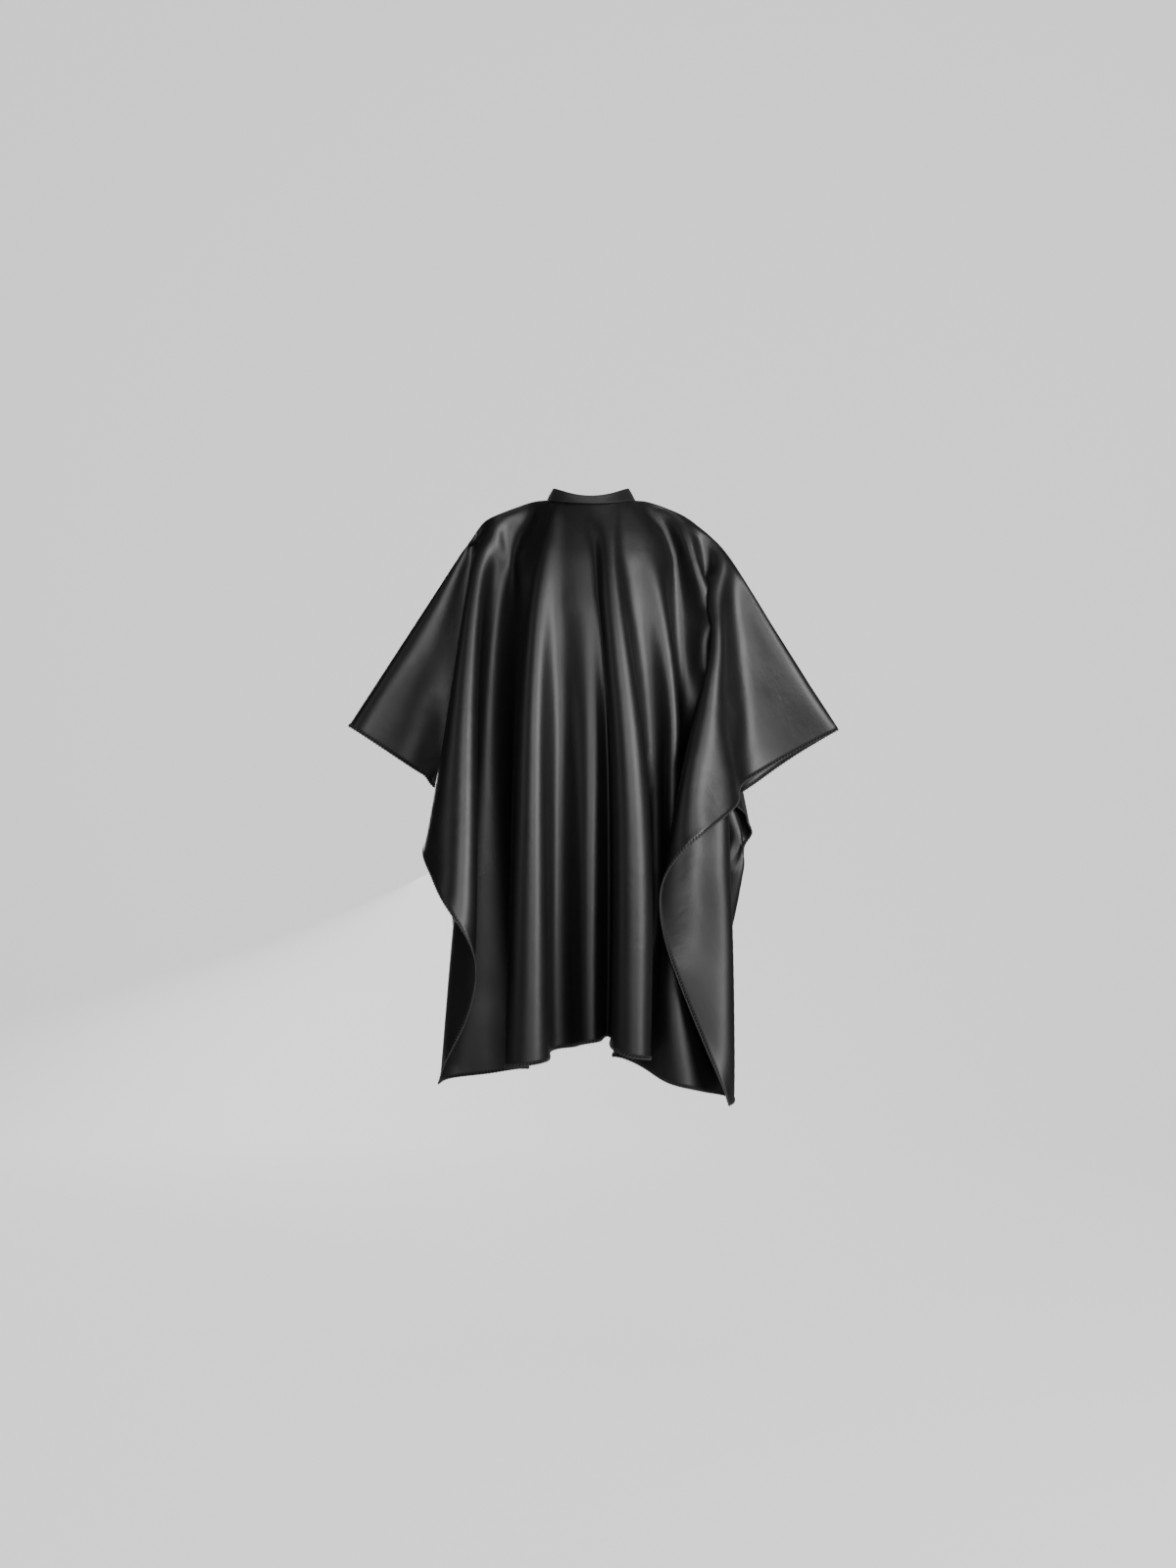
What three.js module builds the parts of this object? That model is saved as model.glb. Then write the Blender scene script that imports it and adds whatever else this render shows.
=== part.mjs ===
// A barber cape, hung as it is worn: one black cloth with a round neck hole, a stiffened neck
// band sewn round the hole, and a snap closure at the back of the neck.
//
// Frame: millimetres, +Z up. The wearer faces -Y and +X is on the right seen from the front.
// The origin is the centre of the neck ring, level with its two highest points over the shoulders.

import * as THREE from 'three';

// ---------------------------------------------------------------- driving dimensions

const GAP = 0.3; // clearance between pieces that touch
const CLOTH = 2.5; // wall that stands for the rippled cloth
const THREAD = { wall: 3.1, drop: 4 }; // overlocked edge: its wall and how far it hangs below the cloth

const RING = { rx: 62, ry: 52 }; // neck ring at its top edge, half width and half depth
// The band's dip below the shoulders, its own height and how far its lower seam flares out:
// it lies back on the collarbones in front and stands straighter behind.
const BAND = {
  side: { dip: 0, height: 23, flare: 12 },
  front: { dip: 19, height: 15, flare: 15 },
  back: { dip: 10, height: 21, flare: 8 },
};
const BAND_LAYERS = { outer: 0.8, core: 0.6, lining: 0.6 }; // walls, from the outside in
const LAYER_GAP = 0.5; // between the layers of the band

const SLIT_ANGLE = 178; // where the right half of the band reaches the slit, 0 at the front
const LEFT_END_ANGLE = -181;
const TAB_END_ANGLE = 228;
const TAB_MARGIN = 1.5; // the tab is this much narrower than the band at each edge
const OVERLAP_RISE = 7.8; // how far out the tab rides, over a stud and its socket
const RISE_START_ANGLE = 120;

const SNAP = { cap: 5, socket: 4.4, bore: 2.3, stud: 4.4, head: 1.95, neck: 1.6, post: 4.7, facets: 20 };
const STUD_COUNT = 6;
const STUD_PITCH_ANGLE = 14;
const FIRST_STUD_ANGLE = 190;
const SNAPPED_STUDS = [2, 3]; // the studs that the tab's two sockets are pressed on

const LABEL = { width: 34, height: 46, wall: 0.4, top: -50, inset: 17 };

// Half of the hung outline, seen from the front: the ridge line runs from the neck over the
// shoulder to the sleeve's tip, and the corners are where the sleeve's layers meet the body.
const LEFT = {
  sign: -1,
  neck: [80, -26],
  shoulder: [181, -50],
  tip: [404, -393],
  frontCorner: [266, -463],
  backCorner: [243, -535],
  side: 250,
};
const RIGHT = {
  sign: 1,
  neck: [80, -26],
  shoulder: [202, -83],
  tip: [415, -397],
  frontCorner: [264, -482],
  backCorner: [236, -540],
  side: 250,
};
const CENTRE_HALF = 110; // half width of the flat middle of the front
const TIP_TRIM = 1.5; // the sleeve's tip is blunt by this much

const FRONT_HEM = [
  [-252, -945],
  [-150, -975],
  [-110, -974],
  [-50, -924],
  [20, -902],
  [60, -957],
  [173, -958],
  [212, -996],
  [252, -999],
];
const BACK_HEM = [
  [-252, -600],
  [-190, -830],
  [-90, -720],
  [0, -655],
  [90, -720],
  [190, -830],
  [252, -610],
];

// How far the cloth bulges in front of the middle plane, and how wide the bulge is, by height.
const DEPTH = [
  [-1020, 166],
  [-500, 156],
  [-300, 142],
  [-200, 125],
  [-100, 98],
  [-60, 80],
  [-37, 66],
  [-20, 60],
];
const BULGE = [
  [-1020, 264],
  [-300, 242],
  [-160, 225],
  [-90, 197],
  [-50, 148],
  [-34, 98],
  [-26, 76],
];
const FLANK = 10; // half of the space inside a hanging sleeve
const RIDGE = 1.9; // half of the space between the layers at the ridge line
const RIDGE_FADE = 45; // height over which a sleeve opens from RIDGE to FLANK
const BACK_SHARE = 1.04; // the back bulges this much of the front

const FINISH = {
  cloth: new THREE.MeshStandardMaterial({ color: 0x17171a, roughness: 0.42, metalness: 0 }),
  band: new THREE.MeshStandardMaterial({ color: 0x141416, roughness: 0.5, metalness: 0 }),
  core: new THREE.MeshStandardMaterial({ color: 0xd8d5cc, roughness: 0.9, metalness: 0 }),
  thread: new THREE.MeshStandardMaterial({ color: 0x101012, roughness: 0.8, metalness: 0 }),
  metal: new THREE.MeshStandardMaterial({ color: 0xb9bbbf, roughness: 0.25, metalness: 1 }),
  label: new THREE.MeshStandardMaterial({ color: 0xe9e7e2, roughness: 0.7, metalness: 0 }),
};

const cape = new THREE.Group();

// ---------------------------------------------------------------- helpers

function add(name, geometry, material, parent = cape) {
  const mesh = new THREE.Mesh(geometry, material);
  mesh.name = name;
  parent.add(mesh);
  return mesh;
}

/** Straight-line reading of a table of [at, value] rows, sorted by at. */
function read(table, at) {
  const last = table.length - 1;
  if (at <= table[0][0]) return table[0][1];
  if (at >= table[last][0]) return table[last][1];
  const i = table.findIndex((row) => row[0] >= at);
  const [a, va] = table[i - 1];
  const [b, vb] = table[i];
  return va + ((vb - va) * (at - a)) / (b - a);
}

function lineAt([x0, z0], [x1, z1], x) {
  return z0 + ((z1 - z0) * (x - x0)) / (x1 - x0);
}

/**
 * A closed sheet of even wall around a surface: point(u, v) gives its middle, for u and v
 * from 0 to 1, and outward gives the side that counts as its outside.
 */
function sheet(point, columns, rows, wall, outward) {
  const step = 1e-3;
  const across = new THREE.Vector3();
  const along = new THREE.Vector3();
  const corner = (i, j, side) => {
    const u = i / columns;
    const v = j / rows;
    const here = point(u, v);
    const [u0, u1] = [Math.max(0, u - step), Math.min(1, u + step)];
    const [v0, v1] = [Math.max(0, v - step), Math.min(1, v + step)];
    across.subVectors(point(u1, v), point(u0, v));
    along.subVectors(point(u, v1), point(u, v0));
    const normal = across.cross(along).normalize();
    if (normal.dot(outward(here)) < 0) normal.negate();
    return here.addScaledVector(normal, (side * wall) / 2);
  };
  const positions = [];
  for (const side of [1, -1]) {
    for (let j = 0; j <= rows; j += 1) {
      for (let i = 0; i <= columns; i += 1) positions.push(...corner(i, j, side).toArray());
    }
  }
  const layer = (columns + 1) * (rows + 1);
  const at = (i, j, side) => (side > 0 ? 0 : layer) + j * (columns + 1) + i;
  const index = [];
  const quad = (a, b, c, d) => index.push(a, b, c, a, c, d);
  for (let j = 0; j < rows; j += 1) {
    for (let i = 0; i < columns; i += 1) {
      quad(at(i, j, 1), at(i + 1, j, 1), at(i + 1, j + 1, 1), at(i, j + 1, 1));
      quad(at(i, j, -1), at(i, j + 1, -1), at(i + 1, j + 1, -1), at(i + 1, j, -1));
    }
  }
  for (let i = 0; i < columns; i += 1) {
    quad(at(i, 0, 1), at(i, 0, -1), at(i + 1, 0, -1), at(i + 1, 0, 1));
    quad(at(i + 1, rows, 1), at(i + 1, rows, -1), at(i, rows, -1), at(i, rows, 1));
  }
  for (let j = 0; j < rows; j += 1) {
    quad(at(0, j + 1, 1), at(0, j + 1, -1), at(0, j, -1), at(0, j, 1));
    quad(at(columns, j, 1), at(columns, j, -1), at(columns, j + 1, -1), at(columns, j + 1, 1));
  }
  const geometry = new THREE.BufferGeometry();
  geometry.setAttribute('position', new THREE.Float32BufferAttribute(positions, 3));
  geometry.setIndex(isInsideOut(positions, index) ? flipped(index) : index);
  geometry.computeVertexNormals();
  return geometry;
}

/** True when the triangles' signed volume is negative, which is when they face inwards. */
function isInsideOut(positions, index) {
  const corner = (k) => new THREE.Vector3().fromArray(positions, 3 * index[k]);
  let volume = 0;
  for (let k = 0; k < index.length; k += 3) {
    volume += corner(k).dot(corner(k + 1).cross(corner(k + 2)));
  }
  return volume < 0;
}

function flipped(index) {
  const turned = [];
  for (let k = 0; k < index.length; k += 3) turned.push(index[k], index[k + 2], index[k + 1]);
  return turned;
}

// ---------------------------------------------------------------- the hung cloth

const sideOf = (x) => (x < 0 ? LEFT : RIGHT);

/** Height of the ridge line, where the front turns over the shoulder into the back. */
function ridgeZ(x) {
  const side = sideOf(x);
  const reach = Math.abs(x);
  if (reach < side.neck[0]) return side.neck[1];
  if (reach < side.shoulder[0]) return lineAt(side.neck, side.shoulder, reach);
  return lineAt(side.shoulder, side.tip, reach);
}

const SEAM_HALF = RING.rx + BAND.side.flare; // half width of the ring at its lower seam
const SEAM_DROP = 3; // the cloth's wall starts this far below the seam

/** Where the cloth starts, below the seam near the neck and below the ridge line beyond it. */
function topZ(x, end) {
  const share = Math.min(1, Math.abs(x) / SEAM_HALF) ** 2;
  const dip = THREE.MathUtils.lerp(end.dip, BAND.side.dip, share);
  const height = THREE.MathUtils.lerp(end.height, BAND.side.height, share);
  const start = -dip - height - SEAM_DROP;
  return share < 1 ? start : Math.min(ridgeZ(x), start);
}

/** How far the cloth stands from the middle plane at a place of the outline. */
function standOff(x, z) {
  const width = read(BULGE, z);
  const bulge = Math.cos((Math.PI / 2) * Math.min(1, Math.abs(x) / width));
  const open = THREE.MathUtils.smoothstep(ridgeZ(x) - z, 0, RIDGE_FADE);
  const flank = RIDGE + (FLANK - RIDGE) * open;
  return flank + (read(DEPTH, z) - flank) * bulge;
}

/**
 * Hangs one panel of the cloth between two upright lines, from its top down to its lower
 * edge, and the overlock thread along that edge.
 */
function hang(name, face, [x0, x1], top, bottom, [columns, rows]) {
  const strip = (from, to, wall, steps) => {
    const point = (u, v) => {
      const x = x0 + (x1 - x0) * u;
      return face.place(x, THREE.MathUtils.lerp(from(x), to(x), v));
    };
    return sheet(point, columns, steps, wall, face.outward);
  };
  add(name, strip(top, bottom, CLOTH, rows), FINISH.cloth);
  const threadTop = (x) => bottom(x) - 2 * GAP;
  const threadEnd = (x) => bottom(x) - THREAD.drop;
  add(`${name}_thread`, strip(threadTop, threadEnd, THREAD.wall, 1), FINISH.thread);
}

const FRONT = {
  place: (x, z) => new THREE.Vector3(x, -standOff(x, z), z),
  outward: () => new THREE.Vector3(0, -1, 0),
};
const BACK = {
  place: (x, z) => new THREE.Vector3(x, BACK_SHARE * standOff(x, z), z),
  outward: () => new THREE.Vector3(0, 1, 0),
};
const frontTop = (x) => topZ(x, BAND.front);
const backTop = (x) => topZ(x, BAND.back);
const frontHem = (x) => read(FRONT_HEM, x);
const backHem = (x) => read(BACK_HEM, x);

hang('cape_front', FRONT, [-CENTRE_HALF, CENTRE_HALF], frontTop, frontHem, [14, 14]);
for (const [name, side] of Object.entries({ left: LEFT, right: RIGHT })) {
  const out = side.sign;
  const frontEdge = (x) => lineAt(side.tip, side.frontCorner, Math.abs(x));
  const backEdge = (x) => lineAt(side.tip, side.backCorner, Math.abs(x));
  const body = [out * (CENTRE_HALF + GAP), out * side.side];
  const sleeve = [out * (side.side + GAP), out * (side.tip[0] - TIP_TRIM)];
  const half = [(out * GAP) / 2, out * side.side];
  hang(`cape_front_${name}`, FRONT, body, frontTop, frontHem, [8, 14]);
  hang(`cape_back_${name}`, BACK, half, backTop, backHem, [14, 12]);
  hang(`sleeve_front_${name}`, FRONT, sleeve, frontTop, frontEdge, [8, 8]);
  hang(`sleeve_back_${name}`, BACK, sleeve, backTop, backEdge, [8, 8]);
}

// ---------------------------------------------------------------- the neck band

const BAND_WALL = BAND_LAYERS.outer + BAND_LAYERS.core + BAND_LAYERS.lining + 2 * LAYER_GAP;

/** How far the band has moved outwards to pass over its own other end. */
function rise(angle) {
  return OVERLAP_RISE * THREE.MathUtils.smoothstep(angle, RISE_START_ANGLE, SLIT_ANGLE);
}

/**
 * A point of the band: angle in degrees from the front towards +X, down from 0 at the top
 * edge to 1 at the lower seam, and out from the middle of its wall.
 */
function bandPoint(angle, down, out) {
  const turn = THREE.MathUtils.degToRad(angle);
  const [east, south] = [Math.sin(turn), Math.cos(turn)];
  const end = south > 0 ? BAND.front : BAND.back;
  const share = south * south;
  const dip = THREE.MathUtils.lerp(BAND.side.dip, end.dip, share);
  const height = THREE.MathUtils.lerp(BAND.side.height, end.height, share);
  const x = (RING.rx + BAND.side.flare * down + out) * east;
  const y = -(RING.ry + end.flare * down + out) * south;
  return new THREE.Vector3(x, y, -dip - height * down);
}

const awayFromNeck = (point) => new THREE.Vector3(point.x, point.y, 0);

function bandStrip(from, to, out, wall, inset) {
  const margin = inset / BAND.side.height;
  const columns = Math.ceil((to - from) / 7);
  const point = (u, v) => {
    const angle = THREE.MathUtils.lerp(from, to, u);
    return bandPoint(angle, THREE.MathUtils.lerp(margin, 1 - margin, v), out + rise(angle));
  };
  return sheet(point, columns, 2, wall, awayFromNeck);
}

const OUTER_AT = (BAND_WALL - BAND_LAYERS.outer) / 2;
const LINING_AT = -(BAND_WALL - BAND_LAYERS.lining) / 2;
const CORE_AT = LINING_AT + (BAND_LAYERS.lining + BAND_LAYERS.core) / 2 + LAYER_GAP;
const CORE_INSET = 1.5;
const TAB_START_ANGLE = SLIT_ANGLE + 0.5;

const LAYERS = [
  ['', OUTER_AT, BAND_LAYERS.outer, 0, FINISH.band],
  ['_interlining', CORE_AT, BAND_LAYERS.core, CORE_INSET, FINISH.core],
  ['_lining', LINING_AT, BAND_LAYERS.lining, 0, FINISH.band],
];
for (const [suffix, out, wall, inset, finish] of LAYERS) {
  add(`neck_band${suffix}`, bandStrip(LEFT_END_ANGLE, SLIT_ANGLE, out, wall, inset), finish);
  add(
    `closure_tab${suffix}`,
    bandStrip(TAB_START_ANGLE, TAB_END_ANGLE, out, wall, inset + TAB_MARGIN),
    finish,
  );
}

// ---------------------------------------------------------------- the snaps

function turned(profile) {
  const points = profile.map(([r, z]) => new THREE.Vector2(r, z));
  const geometry = new THREE.LatheGeometry(points, SNAP.facets);
  geometry.rotateX(Math.PI / 2);
  return geometry;
}

const capShape = () =>
  turned([
    [0, 0],
    [SNAP.cap, 0],
    [SNAP.cap, 0.5],
    [SNAP.cap - 0.9, 1.1],
    [0, 1.5],
  ]);
const socketShape = () =>
  turned([
    [SNAP.bore, 0],
    [SNAP.socket, 0],
    [SNAP.socket, 0.9],
    [SNAP.socket - 1, 1.7],
    [SNAP.bore, 1.7],
    [SNAP.bore, 0],
  ]);
const studShape = () =>
  turned([
    [0, 0],
    [SNAP.stud, 0],
    [SNAP.stud, 0.4],
    [SNAP.neck, 0.7],
    [SNAP.neck, 1.2],
    [SNAP.head, 1.6],
    [SNAP.head - 0.4, 2.1],
    [0, 2.2],
  ]);
const postShape = () =>
  turned([
    [0, 0],
    [SNAP.post, 0],
    [SNAP.post, 0.4],
    [0, 0.6],
  ]);

/**
 * Sets a turned shape over the band's middle line, its own +Z along the band's outward normal
 * for facing 1 or against it for -1. Heights are from the middle of the band's wall.
 */
function setOnBand(name, geometry, angle, height, facing) {
  const middle = bandPoint(angle, 0.5, 0);
  const mesh = add(name, geometry, FINISH.metal);
  mesh.position.copy(middle).addScaledVector(bandNormal(angle), height);
  mesh.quaternion.setFromUnitVectors(
    new THREE.Vector3(0, 0, 1),
    bandNormal(angle).multiplyScalar(facing),
  );
}

function bandNormal(angle) {
  const along = bandPoint(angle + 1, 0.5, 0).sub(bandPoint(angle - 1, 0.5, 0));
  const down = bandPoint(angle, 1, 0).sub(bandPoint(angle, 0, 0));
  const normal = along.cross(down).normalize();
  return normal.dot(awayFromNeck(bandPoint(angle, 0.5, 0))) < 0 ? normal.negate() : normal;
}

/** Height of the tab's middle over the band's middle, square to the band. */
function tabHeight(angle) {
  const reach = bandPoint(angle, 0.5, OVERLAP_RISE).sub(bandPoint(angle, 0.5, 0));
  return reach.dot(bandNormal(angle));
}

const FACE = BAND_WALL / 2 + GAP + 0.35; // a flat snap base, clear of the band's curve
const studAngle = (number) => FIRST_STUD_ANGLE + (number - 1) * STUD_PITCH_ANGLE;
for (let i = 1; i <= STUD_COUNT; i += 1) {
  setOnBand(`snap_stud_${i}`, studShape(), studAngle(i), FACE, 1);
  setOnBand(`snap_post_${i}`, postShape(), studAngle(i), -FACE, -1);
}
SNAPPED_STUDS.forEach((stud, i) => {
  const angle = studAngle(stud);
  setOnBand(`snap_socket_${i + 1}`, socketShape(), angle, tabHeight(angle) - FACE, -1);
  setOnBand(`snap_cap_${i + 1}`, capShape(), angle, tabHeight(angle) + FACE, 1);
});

// ---------------------------------------------------------------- the label

const label = new THREE.BoxGeometry(LABEL.width, LABEL.wall, LABEL.height);
const labelMesh = add('care_label', label, FINISH.label);
const labelTop = BACK_SHARE * standOff(LABEL.width, LABEL.top);
labelMesh.position.set(LABEL.width, labelTop - LABEL.inset, LABEL.top - LABEL.height / 2);

export default cape;
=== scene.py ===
"""A black barber cape as it hangs when worn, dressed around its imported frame.

Metres, +Z up. The wearer faces -Y, and +X is on the right seen from the front. The origin is the
centre of the neck ring. The cape is cut flat, folded along the lines it falls into, and settled
as cloth, held at its seam and its shoulder ridges and drawn towards those lines. The band, its
closure and the thread are sewn on after that.
"""

import logging
import math
from collections.abc import Callable, Iterator, Sequence
from dataclasses import dataclass, field
from enum import Enum

import bmesh
import bpy
import numpy as np
from mathutils import Matrix, Vector


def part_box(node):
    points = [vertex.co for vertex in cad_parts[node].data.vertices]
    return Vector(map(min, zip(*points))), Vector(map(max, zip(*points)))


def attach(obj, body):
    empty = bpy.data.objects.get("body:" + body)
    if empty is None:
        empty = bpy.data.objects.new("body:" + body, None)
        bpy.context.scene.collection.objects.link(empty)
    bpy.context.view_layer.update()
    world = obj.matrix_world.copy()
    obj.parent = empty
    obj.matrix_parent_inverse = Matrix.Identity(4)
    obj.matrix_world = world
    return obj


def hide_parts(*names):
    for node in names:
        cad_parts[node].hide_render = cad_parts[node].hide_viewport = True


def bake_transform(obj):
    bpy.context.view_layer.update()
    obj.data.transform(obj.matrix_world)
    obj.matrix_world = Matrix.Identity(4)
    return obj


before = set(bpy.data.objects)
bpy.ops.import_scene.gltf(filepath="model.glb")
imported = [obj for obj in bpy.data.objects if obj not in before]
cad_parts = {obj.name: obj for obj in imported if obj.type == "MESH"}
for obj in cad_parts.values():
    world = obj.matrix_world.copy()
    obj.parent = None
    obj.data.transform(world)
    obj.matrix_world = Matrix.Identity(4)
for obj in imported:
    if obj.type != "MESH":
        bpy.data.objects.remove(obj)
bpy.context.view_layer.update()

Point = tuple[float, float, float]
FlatPoint = tuple[float, float]
Colour = tuple[float, float, float, float]
Shell = tuple[np.ndarray, list[tuple[int, ...]]]  # points and faces

CAPE_BODY = "cape"
TAB_BODY = "tab"
FLAT_MAP = "flat"
GRAVITY = 9.81
LINT_COLOUR: Colour = (0.16, 0.16, 0.15, 1.0)

log = logging.getLogger("barber_cape")


# --- mesh helpers


def deselect_all() -> None:
    """Deselects every object, the frame's own nodes among them."""
    for other in bpy.context.selected_objects:
        other.select_set(False)


def take_up(piece: bpy.types.Object) -> None:
    """Makes one object the active and only selected one.

    Args:
        piece: The object to work on next.
    """
    deselect_all()
    piece.select_set(True)
    bpy.context.view_layer.objects.active = piece


def sewn_mesh(
    name: str,
    points: np.ndarray,
    faces: Sequence[Sequence[int]],
    flat: np.ndarray | None = None,
) -> bpy.types.Object:
    """Makes an object from points and faces.

    Args:
        name: Name of the piece.
        points: Places of the corners, one row each.
        faces: Corner numbers of each face, seen from its outside.
        flat: Place of each corner in the flat cut, in metres, kept as the piece's UV map.

    Returns:
        The new object, linked to the scene.
    """
    mesh = bpy.data.meshes.new(name)
    mesh.from_pydata([tuple(p) for p in points], [], [list(map(int, f)) for f in faces])
    if flat is not None:
        layer = mesh.uv_layers.new(name=FLAT_MAP)
        corners = np.empty(len(mesh.loops), dtype=np.int64)
        mesh.loops.foreach_get("vertex_index", corners)
        layer.data.foreach_set("uv", flat[corners].astype(np.float32).ravel())
    mesh.update()
    piece = bpy.data.objects.new(name, mesh)
    bpy.context.collection.objects.link(piece)
    return piece


def finish_modifiers(piece: bpy.types.Object) -> None:
    """Applies every modifier of a piece, in order.

    Args:
        piece: The object whose modifiers become part of its mesh.
    """
    take_up(piece)
    for modifier in list(piece.modifiers):
        bpy.ops.object.modifier_apply(modifier=modifier.name)


def subdivide(piece: bpy.types.Object, levels: int) -> None:
    """Rounds a piece with a subdivision surface and applies it.

    Args:
        piece: The object to round.
        levels: How often each face is divided.
    """
    rounding = piece.modifiers.new("rounding", "SUBSURF")
    rounding.levels = levels
    rounding.render_levels = levels
    rounding.boundary_smooth = "PRESERVE_CORNERS"
    finish_modifiers(piece)


def give_wall(piece: bpy.types.Object, wall: float, bevel: float = 0.0) -> None:
    """Gives an open surface a wall, half to each side, and rounds its rim.

    Args:
        piece: The open surface.
        wall: Thickness of the wall.
        bevel: Radius of the rounded rim, or 0 for a plain one.
    """
    solid = piece.modifiers.new("wall", "SOLIDIFY")
    solid.thickness = wall
    solid.offset = 0.0
    solid.use_even_offset = True
    if bevel > 0.0:
        rim = piece.modifiers.new("rim", "BEVEL")
        rim.width = bevel
        rim.segments = 3
        rim.limit_method = "ANGLE"
        rim.angle_limit = math.radians(50)
    finish_modifiers(piece)


def shade_smooth(piece: bpy.types.Object) -> None:
    """Shades every face of a piece smooth.

    Args:
        piece: The object to shade.
    """
    values = np.ones(len(piece.data.polygons), dtype=bool)
    piece.data.polygons.foreach_set("use_smooth", values)


def unit(vectors: np.ndarray) -> np.ndarray:
    """Scales vectors to length one.

    Args:
        vectors: One vector, or rows of them.

    Returns:
        The same directions at length one.
    """
    length = np.linalg.norm(vectors, axis=-1, keepdims=True)
    return vectors / np.maximum(length, 1e-12)


def smooth_step(value: float, low: float, high: float) -> float:
    """Runs from 0 at low to 1 at high with soft ends.

    Args:
        value: Where to read it.
        low: Where it leaves 0.
        high: Where it reaches 1.

    Returns:
        The share between 0 and 1.
    """
    share = min(1.0, max(0.0, (value - low) / (high - low)))
    return share * share * (3 - 2 * share)


# --- finishes


class Nodes:
    """A node tree with short ways to add and join nodes."""

    def __init__(self, tree: bpy.types.NodeTree) -> None:
        """Keeps the tree.

        Args:
            tree: The node tree to add to.
        """
        self.tree = tree

    def add(self, kind: str, **values: object) -> bpy.types.Node:
        """Adds a node and sets its properties.

        Args:
            kind: The node's type, without its ShaderNode prefix.
            **values: Properties of the node.

        Returns:
            The new node.
        """
        node = self.tree.nodes.new(f"ShaderNode{kind}")
        for name, value in values.items():
            setattr(node, name, value)
        return node

    def put(self, socket: bpy.types.NodeSocket, value: object) -> None:
        """Feeds a socket from another one, or sets it to a constant.

        Args:
            socket: The input to feed.
            value: An output socket, a number or a colour.
        """
        if isinstance(value, bpy.types.NodeSocket):
            self.tree.links.new(value, socket)
        else:
            socket.default_value = value

    def math(self, operation: str, *inputs: object) -> bpy.types.NodeSocket:
        """Adds a Math node.

        Args:
            operation: The Math node's operation.
            *inputs: Its inputs, sockets or numbers.

        Returns:
            The result.
        """
        node = self.add("Math", operation=operation)
        for socket, value in zip(node.inputs, inputs):
            self.put(socket, value)
        return node.outputs[0]

    def scaled(self, vector: object, scale: Point, turn: Point = (0.0, 0.0, 0.0)) -> bpy.types.NodeSocket:
        """Stretches and turns a vector by constants.

        Args:
            vector: The socket to read.
            scale: The factor along each axis.
            turn: The turn about each axis, in radians.

        Returns:
            The stretched and turned vector.
        """
        node = self.add("Mapping")
        self.put(node.inputs["Vector"], vector)
        node.inputs["Scale"].default_value = scale
        node.inputs["Rotation"].default_value = turn
        return node.outputs[0]

    def noise(self, vector: object, scale: float, detail: float, warp: float = 0.0) -> bpy.types.NodeSocket:
        """Adds a Noise Texture.

        Args:
            vector: The coordinates to read it at.
            scale: Its scale.
            detail: Its octaves.
            warp: Its distortion.

        Returns:
            Its value, from 0 to 1.
        """
        node = self.add("TexNoise")
        self.put(node.inputs["Vector"], vector)
        node.inputs["Scale"].default_value = scale
        node.inputs["Detail"].default_value = detail
        node.inputs["Distortion"].default_value = warp
        return node.outputs["Fac"]

    def between(self, value: object, low: float, high: float) -> bpy.types.NodeSocket:
        """Maps a value so that low gives 0 and high gives 1, clamped.

        Args:
            value: The socket to read.
            low: The value that gives 0.
            high: The value that gives 1.

        Returns:
            The mapped value.
        """
        node = self.add("MapRange", clamp=True)
        self.put(node.inputs["Value"], value)
        node.inputs["From Min"].default_value = low
        node.inputs["From Max"].default_value = high
        return node.outputs["Result"]

    def mix(self, share: object, first: object, second: object) -> bpy.types.NodeSocket:
        """Mixes two colours.

        Args:
            share: How much of the second colour shows.
            first: A colour or socket.
            second: A colour or socket.

        Returns:
            The mixed colour.
        """
        node = self.add("Mix", data_type="RGBA")
        self.put(node.inputs[0], share)
        self.put(node.inputs[6], first)
        self.put(node.inputs[7], second)
        return node.outputs[2]


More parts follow.
